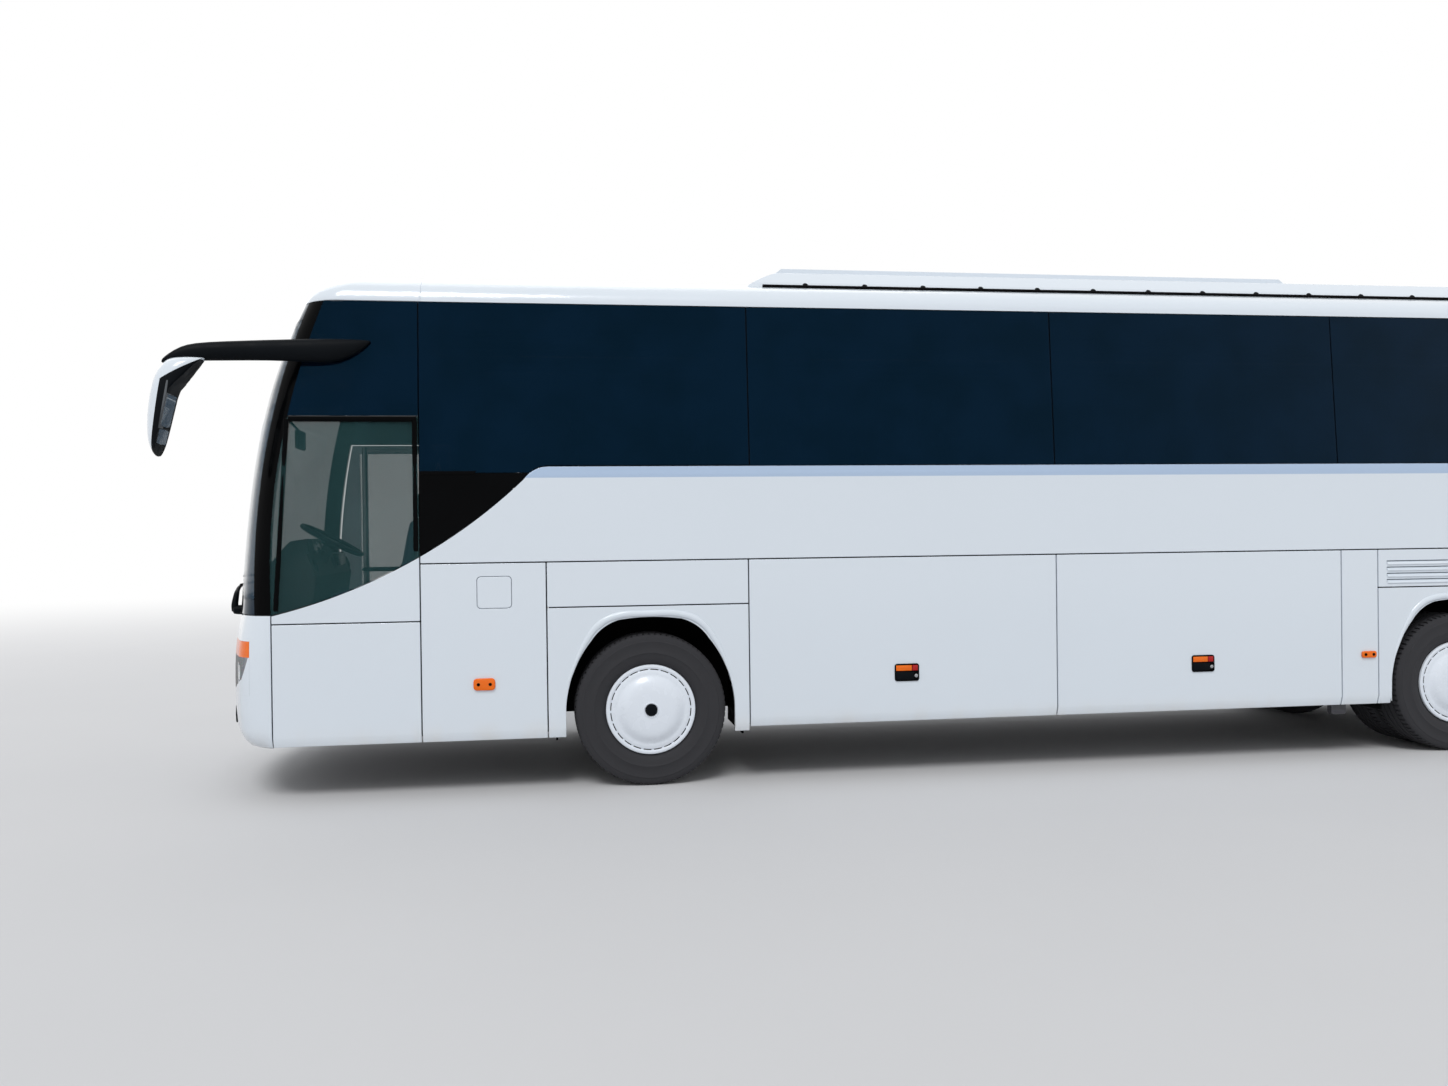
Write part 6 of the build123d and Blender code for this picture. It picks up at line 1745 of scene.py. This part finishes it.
@dataclass
class Undercarriage:
    """What shows from below and behind the engine lid."""

    rail_y: float = 0.440

    def bellows(self) -> Piece:
        """Return the ringed rubber of the air springs."""
        parts = []
        front, rear = AXLES["front"].x, AXLES["rear"].x
        for x, low, high in ((front, 0.548, 0.776), (rear - 0.430, 0.518, 0.776),
                             (rear + 0.430, 0.518, 0.776)):
            ring = (high - low) / 3
            profile = [(0.0, 0.0), (0.0, 0.088)]
            for i in range(3):
                profile += [(i * ring + ring * 0.25, 0.106), (i * ring + ring * 0.75, 0.106),
                            ((i + 1) * ring, 0.095)]
            profile += [(high - low, 0.0)]
            for side in SIDES.values():
                parts.append(turned("bellows", profile, (x, side * self.rail_y, low), (0, 0, 1), 28))
        return fit(joined("air_spring_bellows", parts), "coach_body", Stock.SEAL)

    def driveline(self) -> Piece:
        """Return the gearbox, the short shaft to the rear axle and its joints."""
        parts = [block("gearbox", (3.760, -0.240, 0.500), (4.250, 0.240, 0.860), 0.070, 3),
                 turned("bell", [(0.0, 0.0), (0.0, 0.200), (0.180, 0.260), (0.190, 0.0)], (4.060, 0.0, 0.690),
                        (1, 0, 0), 32)]
        shaft = [(0.0, 0.0), (0.0, 0.070), (0.030, 0.070), (0.030, 0.046), (0.450, 0.046), (0.450, 0.070),
                 (0.480, 0.070), (0.480, 0.0)]
        parts.append(turned("shaft", shaft, (3.270, 0.0, 0.560), (1, 0, 0.12), 24))
        return fit(joined("driveline", parts), "coach_body", Stock.IRON)

    def engine_face(self) -> Piece:
        """Return the pulleys, belt, air filter and header tank behind the lid."""
        parts = []
        wheels = ((0.000, 0.930, 0.110), (-0.210, 1.120, 0.062), (0.200, 1.100, 0.075))
        for y, z, radius in wheels:
            parts.append(dressed(Stock.STEEL, turned("pulley", [
                (0.0, 0.0), (0.0, radius), (0.012, radius), (0.016, radius - 0.010), (0.028, radius - 0.010),
                (0.032, radius), (0.044, radius), (0.044, radius * 0.6), (0.030, radius * 0.5), (0.050, 0.0)],
                (5.798, y, z), (1, 0, 0), 36)))
        loop = [(5.820, -0.100, 0.880), (5.820, -0.268, 1.100), (5.820, -0.240, 1.172),
                (5.820, -0.180, 1.176),
                (5.820, 0.170, 1.172), (5.820, 0.262, 1.150), (5.820, 0.270, 1.080), (5.820, 0.105, 0.880),
                (5.820, 0.0, 0.818), (5.820, -0.100, 0.880)]
        parts.append(dressed(Stock.SEAL, bar("belt", loop, 0.010)))
        parts.append(dressed(Stock.SATIN_BLACK, turned("air_filter", [
            (0.0, 0.0), (0.0, 0.110), (0.020, 0.125), (0.300, 0.125), (0.320, 0.105), (0.330, 0.0)],
            (5.960, -0.700, 1.300), (0, 1, 0), 36)))
        parts.append(dressed(Stock.SATIN_BLACK, bar("hose", [
            (5.940, -0.370, 1.300), (5.960, -0.240, 1.320), (5.900, -0.120, 1.330), (5.780, -0.100, 1.270)],
            0.050)))
        parts.append(dressed(Stock.TRIM, block("header_tank", (5.820, 0.300, 1.240), (6.020, 0.720, 1.440),
                                               0.030, 4)))
        parts.append(dressed(Stock.SEAL, bar("coolant_hose", [
            (5.900, 0.420, 1.250), (5.920, 0.400, 1.120), (5.860, 0.320, 1.000), (5.780, 0.280, 0.960)],
            0.024)))
        return fit(joined("engine_fittings", parts), "coach_body", Stock.SATIN_BLACK)

    def brake_chambers(self) -> Piece:
        """Return the spring brake chambers of the rear axle."""
        parts = []
        for side in SIDES.values():
            parts.append(turned("chamber", [
                (0.0, 0.0), (0.0, 0.060), (0.050, 0.078), (0.070, 0.084), (0.080, 0.078), (0.150, 0.078),
                (0.170, 0.060),
                (0.175, 0.0)], (AXLES["rear"].x - 0.340, side * 0.560, 0.600), (1, 0, 0), 32))
        return fit(joined("rear_brake_chambers", parts), "coach_body", Stock.FRAME)

    def build(self) -> int:
        """Make the pieces below the floor.

        Returns:
            How many pieces were made.
        """
        return len([maker() for maker in (self.bellows, self.driveline, self.engine_face,
                                          self.brake_chambers)])


@dataclass
class Studio:
    """A pale floor, soft light and the camera at the photograph's place."""

    place: tuple[float, float, float] = (-3.728, -9.146, 1.687)
    yaw: float = math.radians(8.36)
    pitch: float = math.radians(-0.36)
    roll: float = math.radians(0.71)
    lens: float = 29.09
    sensor: float = 36.0
    ambient: float = 0.62
    sun: float = 1.35
    floor_colour: Colour = (0.62, 0.62, 0.63)

    def camera(self) -> None:
        """Set up the camera."""
        forward = Vector((math.sin(self.yaw) * math.cos(self.pitch),
                          math.cos(self.yaw) * math.cos(self.pitch), math.sin(self.pitch)))
        level = Vector((math.cos(self.yaw), -math.sin(self.yaw), 0.0))
        upright = level.cross(forward)
        right = math.cos(self.roll) * level - math.sin(self.roll) * upright
        up = math.sin(self.roll) * level + math.cos(self.roll) * upright
        bpy.ops.object.camera_add()
        camera = bpy.context.object
        camera.name = "studio_camera"
        turn = Matrix((right, up, -forward)).transposed().to_4x4()
        camera.matrix_world = Matrix.Translation(self.place) @ turn
        camera.data.lens = self.lens
        camera.data.sensor_width = self.sensor
        camera.data.clip_end = 400.0
        bpy.context.scene.camera = camera

    def floor(self) -> None:
        """Lay a wide pale floor that fades into white."""
        take()
        bpy.ops.mesh.primitive_plane_add(size=240.0)
        floor = named("studio_floor")
        recipe = Recipe("studio_floor_finish")
        recipe.set(Base_Color=recipe.mix(recipe.noise(0.6), self.floor_colour,
                                         tuple(c * 1.04 for c in self.floor_colour)),
                   Roughness=0.9)
        distance = recipe.add("ShaderNodeVectorMath", {0: recipe.place}, operation="LENGTH").outputs["Value"]
        far = recipe.ranged(distance, 9.0, 34.0)
        white = recipe.add("ShaderNodeEmission", {"Color": (1, 1, 1, 1), "Strength": 1.0}).outputs["Emission"]
        light_path = recipe.add("ShaderNodeLightPath", {})
        seen = recipe.math("MAXIMUM", light_path.outputs["Is Camera Ray"],
                           light_path.outputs["Is Glossy Ray"])
        seen = recipe.math("MAXIMUM", seen, light_path.outputs["Is Transmission Ray"])
        share = recipe.math("MULTIPLY", far, seen)
        mix = recipe.add("ShaderNodeMixShader", {0: share, 1: recipe.surface.outputs["BSDF"], 2: white})
        output = recipe.tree.nodes["Material Output"]
        recipe.feed(output.inputs["Surface"], mix.outputs["Shader"])
        floor.data.materials.append(recipe.material)

    def light(self) -> None:
        """Light the coach evenly, with one broad soft key from above."""
        world = bpy.data.worlds.new("studio_world")
        bpy.context.scene.world = world
        world.use_nodes = True
        tree = world.node_tree
        soft = tree.nodes["Background"]
        soft.inputs["Color"].default_value = (0.96, 0.98, 1.0, 1.0)
        soft.inputs["Strength"].default_value = self.ambient
        white = tree.nodes.new("ShaderNodeBackground")
        white.inputs["Color"].default_value = (1.0, 1.0, 1.0, 1.0)
        white.inputs["Strength"].default_value = 1.0
        path = tree.nodes.new("ShaderNodeLightPath")
        seen = path.outputs["Is Camera Ray"]
        for name in ("Is Glossy Ray", "Is Transmission Ray"):
            join = tree.nodes.new("ShaderNodeMath")
            join.operation = "MAXIMUM"
            tree.links.new(seen, join.inputs[0])
            tree.links.new(path.outputs[name], join.inputs[1])
            seen = join.outputs["Value"]
        mix = tree.nodes.new("ShaderNodeMixShader")
        tree.links.new(seen, mix.inputs[0])
        tree.links.new(soft.outputs["Background"], mix.inputs[1])
        tree.links.new(white.outputs["Background"], mix.inputs[2])
        tree.links.new(mix.outputs["Shader"], tree.nodes["World Output"].inputs["Surface"])
        for name, strength, spread, turn in (("key_sun", self.sun, 24.0,
                                              (math.radians(38), 0, math.radians(-18))),
                                             ("fill_sun", self.sun * 0.3, 60.0,
                                              (math.radians(-50), 0, math.radians(12)))):
            bpy.ops.object.light_add(type="SUN", rotation=turn)
            lamp = bpy.context.object
            lamp.name = name
            lamp.data.energy = strength
            lamp.data.angle = math.radians(spread)

    def build(self) -> int:
        """Set up the floor, the lights and the camera.

        Returns:
            How many lights were set.
        """
        self.floor()
        self.light()
        self.camera()
        bpy.context.scene.view_settings.view_transform = "Standard"
        return 2


def main() -> None:
    """Build the coach's looks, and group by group."""
    logging.basicConfig(level=logging.INFO, format="%(name)s: %(message)s")
    for group in (Studio(), Shells(), Wheels(), Bodywork(), Glazing(), Mirrors(), Nose(), Tail(), Cabin(),
                  Undercarriage()):
        log.info("%s: %d", type(group).__name__, group.build())


if __name__ == "__main__":
    main()
